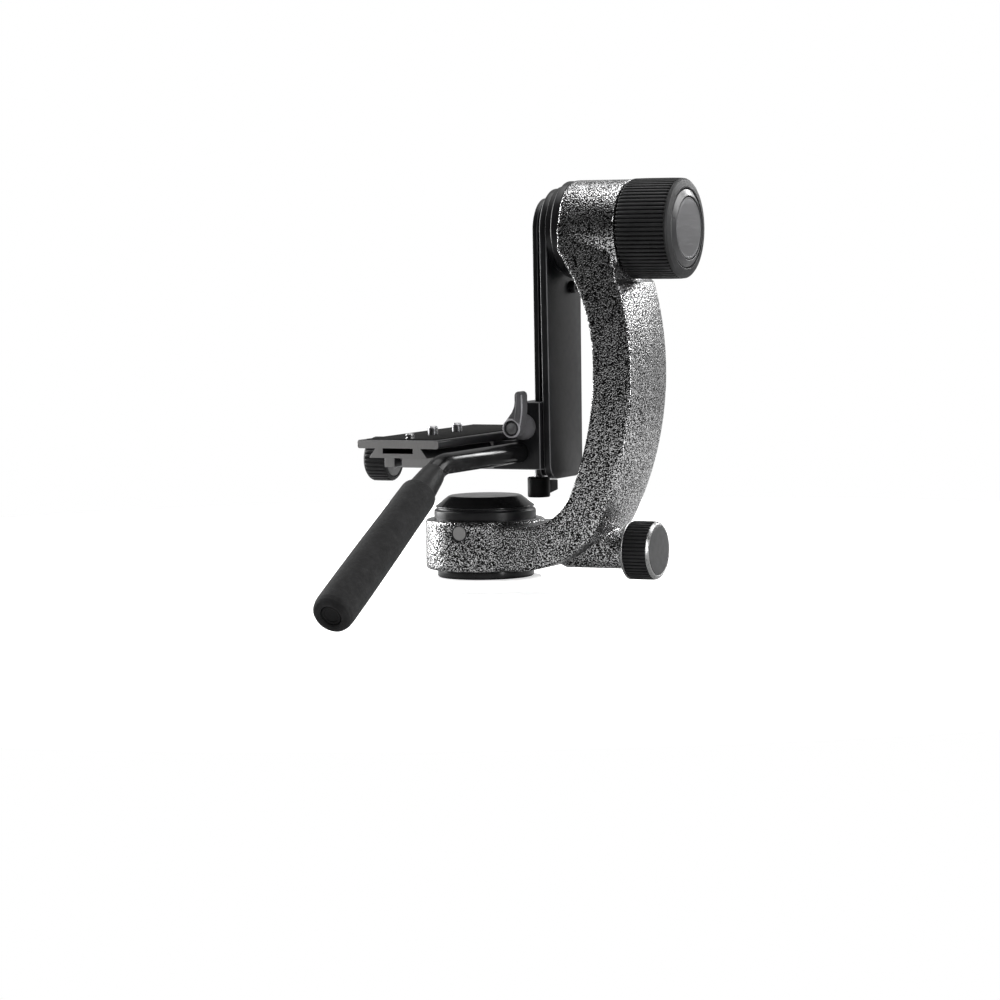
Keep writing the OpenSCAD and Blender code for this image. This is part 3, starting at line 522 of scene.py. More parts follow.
class Finish(Nodes):
    """A material in the making: its nodes, its shader and its Object coordinates."""

    def __init__(self, name):
        self.material = bpy.data.materials.new(name)
        self.material.use_nodes = True
        super().__init__(self.material.node_tree)
        self.shader = self.tree.nodes["Principled BSDF"]
        self.coords = self.add("ShaderNodeTexCoord").outputs["Object"]

    def surface(self, **inputs):
        """Feeds the shader's inputs and gives the finished material."""
        for key, value in inputs.items():
            self.feed(self.shader.inputs[key.replace("_", " ")], value)
        return self.material

    def noise(self, scale, detail, distortion=0.0, coords=None):
        return self.add("ShaderNodeTexNoise", {
            "Scale": scale, "Detail": detail, "Distortion": distortion,
            "Vector": coords or self.coords})

    def mottle(self, scale, detail, low, high):
        """A level or colour that wanders between low and high."""
        return self.ramp(self.noise(scale, detail), (0.3, low), (0.7, high))

    def stretched(self, x, y, z):
        return self.add("ShaderNodeMapping", {
            "Scale": (x, y, z), "Vector": self.coords}).outputs[0]

    def axes(self):
        """X and Y of the Object coordinates."""
        return self.add("ShaderNodeSeparateXYZ", {0: self.coords}).outputs[:2]

    def bump(self, height, distance, strength):
        return self.add("ShaderNodeBump", {
            "Distance": distance, "Strength": strength, "Height": height})

    def grain(self, scale, detail, distance, strength):
        return self.bump(self.noise(scale, detail), distance, strength)

    def blend(self, share, low, high):
        return self.add("ShaderNodeMix", {"Factor": share, "A": low, "B": high},
                        data_type="RGBA").outputs["Result"]

    def wear(self, base, amount, scale=90.0):
        """The base colour, a little lighter and darker from place to place."""
        return self.mottle(scale, 4.0, [c * (1 - amount) for c in base],
                           [min(1.0, c * (1 + amount)) for c in base])

    def rubbed(self, base):
        """The base colour, with a painted highlight on the bevels that are marked for it."""
        edge = self.add("ShaderNodeAttribute", attribute_name="rubbed").outputs["Fac"]
        share = self.maths("MULTIPLY", edge, self.mottle(60, 3.0, 0.6, 1.0))
        # the paler grey on the marked bevels is a painted highlight along the edges
        return self.blend(share, self.wear(base, 0.3), (0.14, 0.14, 0.145, 1.0))


def hammered_enamel(look):
    """Silver worms of paint between furrows darkened partly as painted shade, with a faint
    mould line down the arm.
    """
    made = Finish("hammered_enamel")
    cell = look.enamel_cell
    line_half, arm_start = 0.0003, 0.06
    worms = made.noise(1 / cell, 0.6, 0.25)
    patches = made.maths("SUBTRACT", made.noise(0.06 / cell, 2.0), 0.5)
    relief = made.maths("ADD", worms, made.maths("MULTIPLY", patches, 0.1))
    x, y = made.axes()
    line = made.maths("LESS_THAN", made.maths("ABSOLUTE", y), line_half)
    seam = made.maths("MULTIPLY", line, made.maths("GREATER_THAN", x, arm_start))
    relief = made.maths("ADD", relief, made.maths("MULTIPLY", seam, 0.07))
    return made.surface(
        # the low furrows' near-black is partly the paint's own and partly painted shade
        Base_Color=made.ramp(relief, (0.435, look.enamel_dark), (0.505, (0.14, 0.14, 0.141)),
                             (0.595, look.enamel_light)),
        Roughness=made.ramp(relief, (0.42, 0.34), (0.58, 0.22)),
        Metallic=made.ramp(relief, (0.42, 0.8), (0.52, 0.95)),
        Normal=made.bump(made.ramp(relief, (0.4, 0.0), (0.66, 1.0)), cell * 0.3, 0.42),
        Specular_IOR_Level=0.08)


def satin_anodised(look):
    made = Finish("satin_anodised")
    return made.surface(
        Base_Color=made.rubbed(look.satin_black),
        Roughness=made.mottle(220, 4.0, 0.29, 0.37),
        Normal=made.grain(2600, 2.0, 0.00001, 0.15), Specular_IOR_Level=0.34)


def sawn_profile(name, look, rear, front, reach):
    """Satin black profile whose sawn ends, behind rear and before front, are bare grey."""
    made = Finish(name)
    x, y = made.axes()
    past = made.maths("MAXIMUM", made.maths("LESS_THAN", y, rear * MM),
                      made.maths("GREATER_THAN", y, front * MM))
    ends = made.maths("MULTIPLY", past, made.maths("LESS_THAN", x, reach * MM))
    saw_marks = made.noise(2000, 3.0, coords=made.stretched(1, 1, 0.08))
    bare = made.ramp(saw_marks, (0.3, [0.85 * c for c in look.plate_grey]),
                     (0.7, look.plate_grey))
    return made.surface(
        Base_Color=made.blend(ends, made.rubbed(look.satin_black), bare),
        Roughness=made.maths("ADD", made.maths("MULTIPLY", ends, 0.14),
                             made.mottle(220, 4.0, 0.29, 0.37)),
        Normal=made.grain(2400, 2.0, 0.00001, 0.3), Specular_IOR_Level=0.3)


def coat(name, base, wear, level, rough, grain, patch=90.0):
    """A plain coat; rough is what mottle takes and grain is what grain takes."""
    made = Finish(name)
    return made.surface(
        Base_Color=made.wear(base, wear, patch), Roughness=made.mottle(*rough),
        Normal=made.grain(*grain), Specular_IOR_Level=level)


def polished(name, grey, level):
    return coat(name, (grey, grey, grey * 1.06), 0.3, level, (120, 4.0, 0.13, 0.22),
                (1500, 2.0, 0.00001, 0.3))


def painted(name, base, roughness=0.42):
    return coat(name, base, 0.12, 0.3, (260, 3.0, roughness - 0.05, roughness + 0.06),
                (2400, 3.0, 0.00004, 0.6))


def turned_metal(name, base, roughness, stretch=(1, 1, 1), metallic=1.0):
    """Metal with fine lines that run where the stretch is small."""
    made = Finish(name)
    lines = made.noise(900, 3.0, coords=made.stretched(*stretch))
    return made.surface(
        Base_Color=made.ramp(lines, (0.35, [c * 0.82 for c in base]), (0.65, base)),
        Roughness=made.ramp(lines, (0.3, roughness - 0.06), (0.7, roughness + 0.08)),
        Normal=made.bump(lines, 0.00002, 0.4), Metallic=metallic)


def closed_cell_foam():
    made = Finish("closed_cell_foam")
    pores = made.add("ShaderNodeTexVoronoi", {"Scale": 1500, "Vector": made.coords},
                     feature="F1")
    pits = made.bump(made.ramp(pores, (0.0, 0.0), (0.5, 1.0)), 0.00016, 0.7)
    lumps = made.grain(420, 3.0, 0.0002, 0.4)
    made.feed(lumps.inputs["Normal"], pits)
    return made.surface(
        Base_Color=made.wear((0.012, 0.012, 0.0125), 0.35, 160), Normal=lumps,
        Roughness=made.mottle(500, 2.0, 0.78, 0.92), Sheen_Weight=0.04, Sheen_Roughness=0.5,
        Specular_IOR_Level=0.2)


FINISHES = {}


def make_finishes(look):
    FINISHES.update(
        hammered_casting=hammered_enamel(look),
        satin_black=satin_anodised(look),
        gloss_black=polished("gloss_black", 0.008, 0.32),
        tube_black=polished("tube_black", 0.005, 0.13),
        black_plastic=coat("moulded_black", look.moulded_black, 0.25, 0.25,
                           (300, 3.0, 0.42, 0.54), (3200, 3.0, 0.00005, 0.6)),
        sleek_black=coat("sleek_black", [1.7 * c for c in look.moulded_black], 0.2, 0.5,
                         (180, 3.0, 0.26, 0.36), (2600, 3.0, 0.00003, 0.4)),
        soft_black=coat("soft_black", (0.007, 0.007, 0.0073), 0.25, 0.16,
                        (300, 3.0, 0.4, 0.5), (3200, 3.0, 0.00004, 0.5)),
        pad_rubber=coat("grained_rubber", (0.009, 0.0088, 0.0086), 0.3, 0.06,
                        (300, 2.0, 0.75, 0.9), (1800, 4.0, 0.00012, 0.8), 140),
        grip_foam=closed_cell_foam(),
        sawn_plate=sawn_profile("sawn_plate", look, -114.4, 35.4, 90),
        sawn_jaw=sawn_profile("sawn_jaw", look, -26.9, 26.9, 90),
        sawn_platform=sawn_profile("sawn_platform", look, -26.9, 26.9, 19.5),
        lock_grey=painted("lock_grey", (0.05, 0.05, 0.051), 0.46),
        lever_grey=painted("lever_grey", look.lever_grey),
        # lever grey made 3.6 times lighter: a painted highlight for the lever's ridge strip
        # and hub rim
        lever_edge=painted("lever_edge", [3.6 * c for c in look.lever_grey], 0.3),
        plate_grey=painted("plate_grey", look.plate_grey, 0.5),
        hub_grey=turned_metal("hub_grey", (0.2, 0.2, 0.2), 0.36, (1, 0.4, 0.4)),
        dark_steel=turned_metal("dark_steel", (0.24, 0.24, 0.245), 0.34, metallic=0.6),
        medallion_grey=turned_metal("medallion_grey", (0.14, 0.14, 0.144), 0.4,
                                    (1, 0.06, 1), 0.7),
        silver_trim=turned_metal("silver_trim", (0.4, 0.4, 0.4), 0.28, (1, 0.5, 0.5)),
        steel=turned_metal("turned_steel", (0.5, 0.5, 0.51), 0.32, (1, 1, 0.3)),
        bronze=turned_metal("sintered_bronze", (0.42, 0.27, 0.13), 0.5))


# ---- Pieces ----

class GimbalDressCast(bpy.types.Operator):
    """Makes the enamelled casting with its rounded edges and the plug in its hub"""
    bl_idname = "gimbal.dress_casting"
    bl_label = "Casting"

    def execute(self, context):
        casting = remeshed(copy_of("c_arm", "arm_casting"),
                           context.scene.gimbal_shape.casting_voxel)
        step = prism("cut", [(17.4, -45), (17.4, -30.9), (3.5, -36.45), (3.5, -45)], 8.4,
                     32.4, upward(), 0)
        settle(carved(casting, [step], SOFT_ANGLE), "hammered_casting", "frame",
               "hammered_casting", "c_arm")
        place = rearward(0, 0, PLUG_Z)
        plug = turned("hub_screw_cap", [
            (0, 32.6), (4.3, 32.6), (4.3, 35.9), (3.75, 36.4), (0, 36.42)], place, 0.25, 48)
        settle(plug, "plate_grey", "frame", "lever_grey", "hub_plug")
        seal = ring("hub_screw_seal", [
            (4.4, 32.6), (5.1, 32.6), (5.1, 36.0), (4.95, 36.15), (4.4, 36.1)], place, 0.1,
            48)
        settle(seal, "black_plastic", "frame", "black_plastic")
        return {"FINISHED"}


class GimbalDressHub(bpy.types.Operator):
    """Makes the polished cap, the collar and the base flange"""
    bl_idname = "gimbal.dress_hub"
    bl_label = "Hub cap, collar and base"

    def execute(self, context):
        collar = ring("hub_collar_ring", [
            (3, 38.1), (17, 38.1), (17, 35.5), (31.1, 35.5), (31.1, 40.4), (30.3, 41.3),
            (29.5, 41.3), (29.5, 42.3), (3, 42.3)], upward(), 0.25, 128)
        settle(collar, "satin_black", "frame", "satin_black", "hub_collar")
        cap = turned("hub_cap_dome", [
            (0, 39.8), (3, 39.8), (3, 42.35), (30.1, 42.35), (30.1, 43.2), (28.9, 44.0),
            (22.5, 48.9), (21.4, 49.35), (12, 49.6), (0, 49.7)], upward(), 0.5, 128)
        settle(cap, "gloss_black", "frame", "gloss_black", "hub_cap")
        turns = [k * math.pi / 4 for k in (1, 3, 5, 7)]
        holes = [bore(radius, -1, depth, upward(SCREW_CIRCLE_R * math.cos(a),
                                                SCREW_CIRCLE_R * math.sin(a)))
                 for a in turns for radius, depth in ((2.5, 1.6), (1.25, 6))]
        flange = ring("base_disc", [
            (7.45, 0.0), (28.6, 0.0), (29.5, 0.9), (29.5, 4.6), (7.45, 4.6)], upward(), 0.2,
            128)
        settle(carved(flange, holes), "gloss_black", "base", "gloss_black", "base_flange")
        return {"FINISHED"}


class GimbalDressTiltKnob(bpy.types.Operator):
    """Makes the large ridged tilt knob with its face ring and bare medallion"""
    bl_idname = "gimbal.dress_tilt_knob"
    bl_label = "Tilt knob"

    def execute(self, context):
        place = across(KNOB_X, 0, TILT_Z)
        grip = turned("tilt_knob_grip", [
            (0, 26), (11, 26), (11, 18.2), (12.0, 18.2), (12.0, 0), (28.0, 0), (28.4, 0.6),
            (28.4, 30.8), (29.75, 31.5), (29.6, 32.3), (28.6, 33.2), (24.5, 34.1),
            (23.8, 34.0), (23.8, 31.5), (0, 31.5)], place, 0.4, 144)
        count = context.scene.gimbal_shape.knob_ridges
        ridged(grip, count, Radius=29.95, Start=KNOB_X + 0.25, Length=31.6,
               Width=ridge_width(0.64, 30, count), Height=2.8, Axis_height=TILT_Z)
        settle(grip, "black_plastic", "tilt_knob", "black_plastic", "knob_grip")
        face = ring("tilt_knob_face_ring", [
            (18.85, 31.5), (23.2, 31.5), (23.2, 33.6), (22.9, 33.9), (19.4, 35.6),
            (18.85, 35.5)], place, 0.25, 128)
        settle(face, "sleek_black", "tilt_knob", "black_plastic", "knob_ring")
        medallion = turned("tilt_knob_medallion", [
            (0, 31.5), (18.3, 31.5), (18.3, 35.1), (18.0, 35.4), (17.2, 35.4),
            (17.0, 35.25), (16.8, 35.4), (0, 35.4)], place, 0.15, 128)
        settle(medallion, "medallion_grey", "tilt_knob", "medallion_grey", "knob_medallion")
        return {"FINISHED"}


class GimbalDressPanLock(bpy.types.Operator):
    """Makes the pan lock knob with its silver rims and grey face"""
    bl_idname = "gimbal.dress_pan_lock"
    bl_label = "Pan lock knob"

    def execute(self, context):
        place = across(LOCK_X, 0, LOCK_Z)
        grip = ring("pan_lock_grip", [
            (3.0, 1.7), (16.6, 1.7), (16.6, 16.7), (14.8, 16.7), (14.8, 15.5), (3.0, 15.5)],
            place, 0.2, 128)
        count = context.scene.gimbal_shape.lock_ridges
        ridged(grip, count, Radius=17.6, Start=LOCK_X + 1.75, Length=14.9,
               Width=ridge_width(0.62, 17.6, count), Height=2.2, Axis_height=LOCK_Z)
        settle(grip, "black_plastic", "pan_lock", "black_plastic", "lock_grip")
        back = ring("rim", [
            (3.0, 0), (17.0, 0), (17.7, 0.6), (17.7, 1.35), (17.3, 1.7), (3.0, 1.7)], place,
            0.2, 128)
        front = ring("rim_front", [
            (14.8, 16.7), (17.2, 16.7), (17.2, 17.05), (15.9, 18.35), (15.0, 18.45),
            (14.8, 18.3)], place, 0.2, 128)
        settle(joined("pan_lock_rims", back, front), "silver_trim", "pan_lock",
               "silver_trim", "lock_trim")
        face = turned("pan_lock_face", [
            (0, 15.5), (14.72, 15.5), (14.72, 18.1), (14.3, 18.5), (0, 18.55)], place, 0.2,
            128)
        settle(face, "lock_grey", "pan_lock", "lever_grey", "lock_face")
        return {"FINISHED"}


def round_top_outline(half_top, half_foot, foot, corner):
    """Outline in YZ: a round top about the tilt axis and round corners at the foot."""
    return (arc(0, TILT_Z, half_top, 0, 180, 40)
            + arc(-half_foot + corner, foot + corner, corner, 180, 270, 14)
            + arc(half_foot - corner, foot + corner, corner, 270, 360, 14))


class GimbalDressSwing(bpy.types.Operator):
    """Makes the hanging plate, its dovetail rail, the stepped flange and the stop peg"""
    bl_idname = "gimbal.dress_swing"
    bl_label = "Swing plate"

    def execute(self, context):
        plate = prism("hanging_plate", round_top_outline(24.6, 23.0, 61.0, 10), PLATE_X,
                      FLANGE_X, across(), 0.7)
        settle(mark_painted_highlight(plate, 0), "satin_black", "swing", "satin_black", "swing_plate")
        head = prism("head", round_top_outline(19, 19, 62.5, 4), RAIL_X, 47.0, across(),
                     0.5)
        mark_painted_highlight(head, 0)
        neck = prism("neck", round_top_outline(15.5, 15.5, 62.5, 4), 46.9, PLATE_X,
                     across(), 0)
        carved(head, [bore(radius, -1, depth, across(RAIL_X, 0, z), 48)
                      for radius, depth, z in ((4.1, 3, 72.5), (4.1, 3, 128.25),
                                               (4.1, 3, 174), (8.1, 5, TILT_Z))])
        carved(neck, [bore(8.1, 2, 9, across(RAIL_X, 0, TILT_Z), 48)])
        settle(joined("dovetail_rail", head, neck), "satin_black", "swing", "satin_black",
               "swing_rail")
        flange = ring("stepped_flange", [
            (8.0, 0), (25.8, 0), (25.8, 4.1), (26.4, 4.6), (28.2, 4.6), (28.9, 5.3),
            (28.9, 9.3), (8.0, 9.3)], across(FLANGE_X, 0, TILT_Z), 0.3, 128)
        settle(flange, "satin_black", "swing", "satin_black", "tilt_flange")
        peg = turned("stop_stud", [
            (0, -3.6), (2.5, -3.6), (2.5, 0), (3.9, 0), (3.9, 2.5), (3.4, 3.0), (1.8, 3.0),
            (1.6, 2.2), (0, 2.2)], across(FLANGE_X, PEG_Y, TILT_Z - PEG_DROP), 0.25, 64)
        settle(peg, "satin_black", "swing", "satin_black", "stop_peg")
        return {"FINISHED"}


class GimbalDressPlatform(bpy.types.Operator):
    """Makes the platform with its clamp block, fixed jaw and bar socket"""
    bl_idname = "gimbal.dress_platform"
    bl_label = "Platform"

    def execute(self, context):
        bed = prism("platform_bed", [
            (-42.8, 67.2), (50.5, 67.2), (50.5, 107.8), (35.8, 107.8), (35.8, 84.65),
            (15.7, 84.65), (19.3, 79.2), (-42.8, 79.2)], -27, 27, rearward(), 0.7)
        place = rearward(BAR_X, 0, BAR_Z)
        carved(mark_painted_highlight(bed), [
            block(43.4, 47.3, -19.3, 19.3, 60, 115, upward()),
            block(47.2, 52.0, -15.8, 15.8, 60, 115, upward()),
            block(39.5, 43.5, -9.3, 9.3, 87.7, 98.3, upward()),
            bore(6.25, -15, 30, place, 64),
            bore(2.05, -24, 30, rearward(PIVOT_X, 0, PIVOT_Z)),
            bore(2.55, 60, 77, upward(BAR_X)),
            bore(2.55, -45, 9, across(0, 0, CLAMP_Z))])
        collar = ring("socket", [
            (6.28, 26.0), (7.7, 26.0), (7.7, 26.6), (7.2, 26.95), (6.28, 26.95)], place,
            0.15, 64)
        ridge = ring("ridge", [(6.3, -26.5), (7.95, -26.5), (7.95, 26.5), (6.3, 26.5)],
                     place, 0.3)
        settle(joined("platform_bed", bed, collar, ridge), "sawn_platform", "platform",
               "satin_black", "platform_bracket")
        return {"FINISHED"}


class GimbalDressClamp(bpy.types.Operator):
    """Makes the moving jaw and the clamp knob"""
    bl_idname = "gimbal.dress_clamp"
    bl_label = "Quick-release clamp"

    def execute(self, context):
        jaw = prism("moving_jaw", [
            (-54.5, 67.3), (-47.6, 67.3), (-47.6, 79.5), (-19.3, 79.5), (-15.7, 84.65),
            (-54.5, 84.65)], -27, 27, rearward(), 0.5)
        carved(mark_painted_highlight(jaw), [
            bore(radius, -60, -40, across(0, y, z))
            for radius, y, z in ((2.55, 0, CLAMP_Z), (2.05, -18, 73.2), (2.05, 18, 73.2))])
        settle(jaw, "sawn_jaw", "clamp_jaw", "plate_grey", "qr_jaw")
        place = across(CLAMP_KNOB_X, 0, CLAMP_Z)
        grip = turned("clamp_knob_grip", [
            (0, 0), (9.6, 0), (10.1, 0.4), (11.5, 0.5), (13.0, 1.9), (13.1, 2.4),
            (13.0, 15.3), (12.4, 16), (10.7, 16), (10.7, 14.0), (2.5, 14.0), (2.5, 4.0),
            (0, 4.0)], place, 0.25)
        count = context.scene.gimbal_shape.clamp_ridges
        ridged(grip, count, Radius=13.6, Start=CLAMP_KNOB_X + 2.4, Length=12.8,
               Width=ridge_width(0.6, 13.6, count), Height=1.7, Axis_height=CLAMP_Z)
        settle(grip, "black_plastic", "clamp_knob", "black_plastic", "qr_grip")
        hub = ring("clamp_knob_hub", [
            (2.5, 14.05), (10.6, 14.05), (10.6, 15.7), (10.2, 16.1), (6.2, 16.2),
            (5.2, 17.2), (5.0, 22.9), (2.5, 22.9)], place, 0.25)
        settle(hub, "hub_grey", "clamp_knob", "silver_trim", "qr_hub")
        return {"FINISHED"}


class GimbalDressLensPlate(bpy.types.Operator):
    """Makes the long dovetail plate with its pad, stud and threaded lens screws"""
    bl_idname = "gimbal.dress_lens_plate"
    bl_label = "Lens plate"

    def execute(self, context):
        outline = (arc(-25.2, 86.2, 1.3, 270, 180, 5) + arc(-25.2, 88.6, 1.3, 180, 90, 5)
                   + arc(25.2, 88.6, 1.3, 90, 0, 5) + arc(25.2, 86.2, 1.3, 0, -90, 5)
                   + [(15.0, 84.9), (19.0, 79.4), (-19.0, 79.4), (-15.0, 84.9)])
        plate = prism("long_plate_body", outline, -35.5, 114.5, rearward(), 0.4)
        stud_place = upward(STUD_X, STUD_Y)
        places = [upward(0, y) for y in LENS_SCREWS_Y]
        mirror = Matrix.Scale(-1, 4, (0, 1, 0))
        cutters = [block(-9.9, 9.9, 82.0, 85.1, -23.5, 116, rearward()),
                   block(-22.5, 22.5, -31.5, 110.5, PAD_FOOT_Z, 92, mirror),
                   bore(2.7, 86.1, 92, stud_place)]
        carved(mark_painted_highlight(plate, 1), cutters + [bore(3.0, 80, 92, spot) for spot in places])
        settle(plate, "sawn_plate", "long_plate", "plate_grey", "lens_plate")
        pad = prism("plate_rubber", box_outline(-22.5, 22.5, -110.5, 31.5), PAD_FOOT_Z, 90.3,
                    upward(), 0.25)
        carved(pad, [bore(2.75, 88, 92, stud_place)]
               + [bore(3.02, 88, 92, spot) for spot in places])
        settle(pad, "pad_rubber", "long_plate", "pad_rubber", "lens_pad")
        stud = turned("safety_stud", [
            (0, 86.1), (2.7, 86.1), (2.7, 90.7), (2.2, 91.0), (2.2, 91.5), (2.7, 91.9),
            (2.7, 92.9), (2.2, 93.3), (0, 93.3)], stud_place, 0.2, 48)
        slot_place = stud_place @ Matrix.Rotation(0.5, 4, "Z")
        carved(stud, [block(-3.5, 3.5, -0.35, 0.35, 92.6, 94, slot_place)])
        settle(stud, "silver_trim", "long_plate", "silver_trim", "plate_stud")
        profile = [(0, 82.4), (6.1, 82.4), (6.1, 84.5), (3.0, 84.5), (3.0, 90.35)]
        for k in range(THREAD_TURNS):
            z = 90.45 + THREAD_PITCH * k
            profile += [(2.85, z), (3.175, z + 0.24), (3.175, z + 0.3), (2.85, z + 0.54)]
        profile += [(2.8, 95.0), (2.4, 95.4), (0, 95.4)]
        screws = [piece_from(turned_mesh(profile, 48), "thread", spot, SOFT_ANGLE)
                  for spot in places]
        settle(joined("lens_screw_pair", *screws, angle=SOFT_ANGLE), "steel", "long_plate",
               "steel", "lens_screws")
        return {"FINISHED"}


class GimbalDressLever(bpy.types.Operator):
    """Makes the cast height lever and the turned screw in its hub"""
    bl_idname = "gimbal.dress_lever"
    bl_label = "Height lever"

    def execute(self, context):
        place = rearward(PIVOT_X, 0, PIVOT_Z)
        hub = turned("hub", [
            (0, 27.4), (7.9, 27.4), (7.9, 30.5), (6.1, 36.0), (5.65, 38.0), (5.65, 45.7),
            (0, 45.7)], place, 0.4, 64)
        flank = [(-5.4, 1.5), (-4.3, 4.0), (-2.3, 6.6), (-0.1, 9.4), (1.3, 12.2),
                 (1.9, 15.0)]
        side = [(7.0, 15.0), (7.05, 11.5), (6.8, 8.2), (6.2, 4.0), (5.4, 0.5)]
        arm = prism("arm", (flank + arc(4.5, 19.5, 2.5, 180, 0, 10) + side)[::-1], 36.4,
                    44.9, place, 0.7)
        lobe = prism("lobe", [
            (4.6, 4.0), (5.1, 12.0), (5.0, 20.5), (3.8, 20.5), (3.2, 12.0), (1.9, 4.0)],
            35.4, 45.4, place, 0.4)
        lever = remeshed(joined("lever_casting", hub, arm, lobe), LEVER_VOXEL, SOFT_ANGLE)
        carved(lever, [bore(4.5, 42.8, 47, place, 64)], SOFT_ANGLE)
        # a lighter strip along the arm's edge that carries a painted highlight line
        line = [(5.5, 1.2), (6.15, 4.0), (6.8, 8.2), (7.05, 11.5), (7.05, 15.0),
                (6.95, 20.0)]
        ridge = prism("lever_ridge", line + [(x - 0.7, z) for x, z in reversed(line)], 43.5,
                      45.1, place, 0.3)
        settle(ridge, "lever_edge", "height_lever", "lever_grey")
        # a lighter ring round the screw recess that carries a painted highlight on the hub's
        # rim
        rim = ring("lever_hub_rim", [
            (4.5, 44.6), (4.5, 45.4), (4.8, 45.72), (5.3, 45.72), (5.75, 45.2),
            (5.75, 44.6)], place, 0.25)
        settle(rim, "lever_edge", "height_lever", "lever_grey")
        settle(lever, "lever_grey", "height_lever", "lever_grey", "lever_arm")
        screw = turned("lever_hub_screw", [
            (0, 42.8), (3.7, 42.8), (3.7, 44.7), (3.4, 45.15), (2.9, 45.25), (1.5, 44.85),
            (0.7, 44.5), (0, 44.4)], place, 0.3, 64)
        settle(screw, "dark_steel", "height_lever", "silver_trim", "lever_screw")
        return {"FINISHED"}


def bar_path():
    """Middle line of the bar, from inside its socket to inside its grip."""
    run = BAR_BEND_R * math.tan(math.radians(BAR_DIP / 2))
    path = [Vector((BAR_X, y, BAR_Z)) for y in (14, 0, -26, -60, -90)]
    centre = Vector((BAR_X, BAR_CORNER_Y + run, BAR_Z - BAR_BEND_R))
    for k in range(BEND_STEPS + 1):
        a = math.radians(BAR_DIP * k / BEND_STEPS)
        path.append(centre + BAR_BEND_R * Vector((0, -math.sin(a), math.cos(a))))
    dip = math.radians(BAR_DIP)
    along = Vector((0, -math.cos(dip), -math.sin(dip)))
    corner = Vector((BAR_X, BAR_CORNER_Y, BAR_Z))
    return path + [corner + along * d for d in (14, 24, 60, 149)]


class GimbalDressPanBar(bpy.types.Operator):
    """Makes the bent tube, its sleeve, the foam grip and the wing knob"""
    bl_idname = "gimbal.dress_pan_bar"
    bl_label = "Pan bar"

    def execute(self, context):
        settle(tube("pan_bar_tube", bar_path(), TUBE_R), "tube_black", "pan_bar",
               "satin_black", "bar_tube")
        place = down_the_grip()
        sleeve = ring("pan_bar_sleeve", [
            (6.22, 9.6), (6.6, 9.6), (7.0, 11.5), (7.4, 14.6), (8.8, 31.0), (9.15, 31.5),
            (9.15, 35.5), (6.22, 35.5)], place, 0.4)
        settle(sleeve, "soft_black", "pan_bar", "black_plastic", "bar_sleeve")
        start, end = FOAM_START, FOAM_START + FOAM_LENGTH
        grip = ring("pan_bar_foam", [
            (9.22, start + 0.1), (9.8, start), (10.45, start + 0.8), (10.7, start + 2.4),
            (11.1, start + 30), (11.6, start + 60), (11.9, start + 88), (12.0, end - 8),
            (11.8, end - 4.5), (11.1, end - 1.9), (9.9, end - 0.5), (8.0, end),
            (6.6, end - 0.3), (6.25, end - 1.2), (6.25, start + 4.1), (9.22, start + 4.1)],
            place, 0.8)
        settle(grip, "grip_foam", "pan_bar", "grip_foam", "bar_grip")
        cap = turned("pan_bar_end_cap", [
            (0, 149.5), (6.15, 149.5), (6.15, 153.6), (5.6, 154.2), (4.6, 154.2),
            (4.2, 153.6), (0, 153.5)], place, 0.25, 64)
        settle(cap, "soft_black", "pan_bar", "black_plastic", "bar_end")
        body = turned("body", [
            (0, 48.8), (6.3, 48.8), (6.8, 49.4), (6.8, 60.3), (6.2, 60.9), (2.5, 60.9),
            (2.5, 52.9), (0, 52.9)], upward(BAR_X), 0.3)
        wing_turn = Matrix.Rotation(math.radians(WING_TURN), 4, "Z")
        lug = prism("lug", [
            (6.1, 50.2), (6.8, 50.2), (15.6, 52.3), (15.6, 58.5), (6.1, 58.5)], -2.2, 2.2,
            upward(BAR_X) @ wing_turn @ rearward(), 0.6)
        settle(joined("bar_wing_knob", body, lug), "soft_black", "bar_lock",
               "black_plastic", "wing_knob")
        return {"FINISHED"}


class GimbalDressFasteners(bpy.types.Operator):
    """Gives every carried-over node, such as screws, shafts and bearings, its finish"""
    bl_idname = "gimbal.dress_fasteners"
    bl_label = "Screws, shafts and bearings"

    def execute(self, context):
        for part in frame["record"]["subparts"]:
            node = frame["nodes"][part["node"]]
            node.data.materials.clear()
            node.data.materials.append(FINISHES[part["material_slot"]])
        return {"FINISHED"}


# ---- Stage ----

def soft_lamp(name, size, power, spot, aim):
    lamp = bpy.data.lights.new(name, "AREA")
    lamp.shape = "RECTANGLE"
    lamp.size, lamp.size_y = size
    lamp.energy = power
    holder = linked(name, lamp)
    holder.location = spot
    holder.rotation_euler = (Vector(aim) - Vector(spot)).to_track_quat("-Z", "Y").to_euler()


def pale_surface(name, grey, lift):
    """A pale matt surface that shows white to the camera and keeps its shadow."""
    made = Finish(name)
    made.surface(Base_Color=made.wear((grey, grey, grey), 0.01, 3.0), Roughness=0.9,
                 Specular_IOR_Level=0.0)
    rays = made.add("ShaderNodeLightPath").outputs
    lit = made.add("ShaderNodeAddShader", {
        0: made.shader, 1: made.add("ShaderNodeEmission", {"Strength": lift})})
    seen = made.mix(rays["Is Camera Ray"], made.shader, lit)
    dim = made.add("ShaderNodeEmission", {"Strength": 0.12})
    share = made.maths("MULTIPLY", rays["Is Glossy Ray"], 0.5)
    made.feed(made.tree.nodes["Material Output"].inputs[0], made.mix(share, seen, dim))
    return made.material


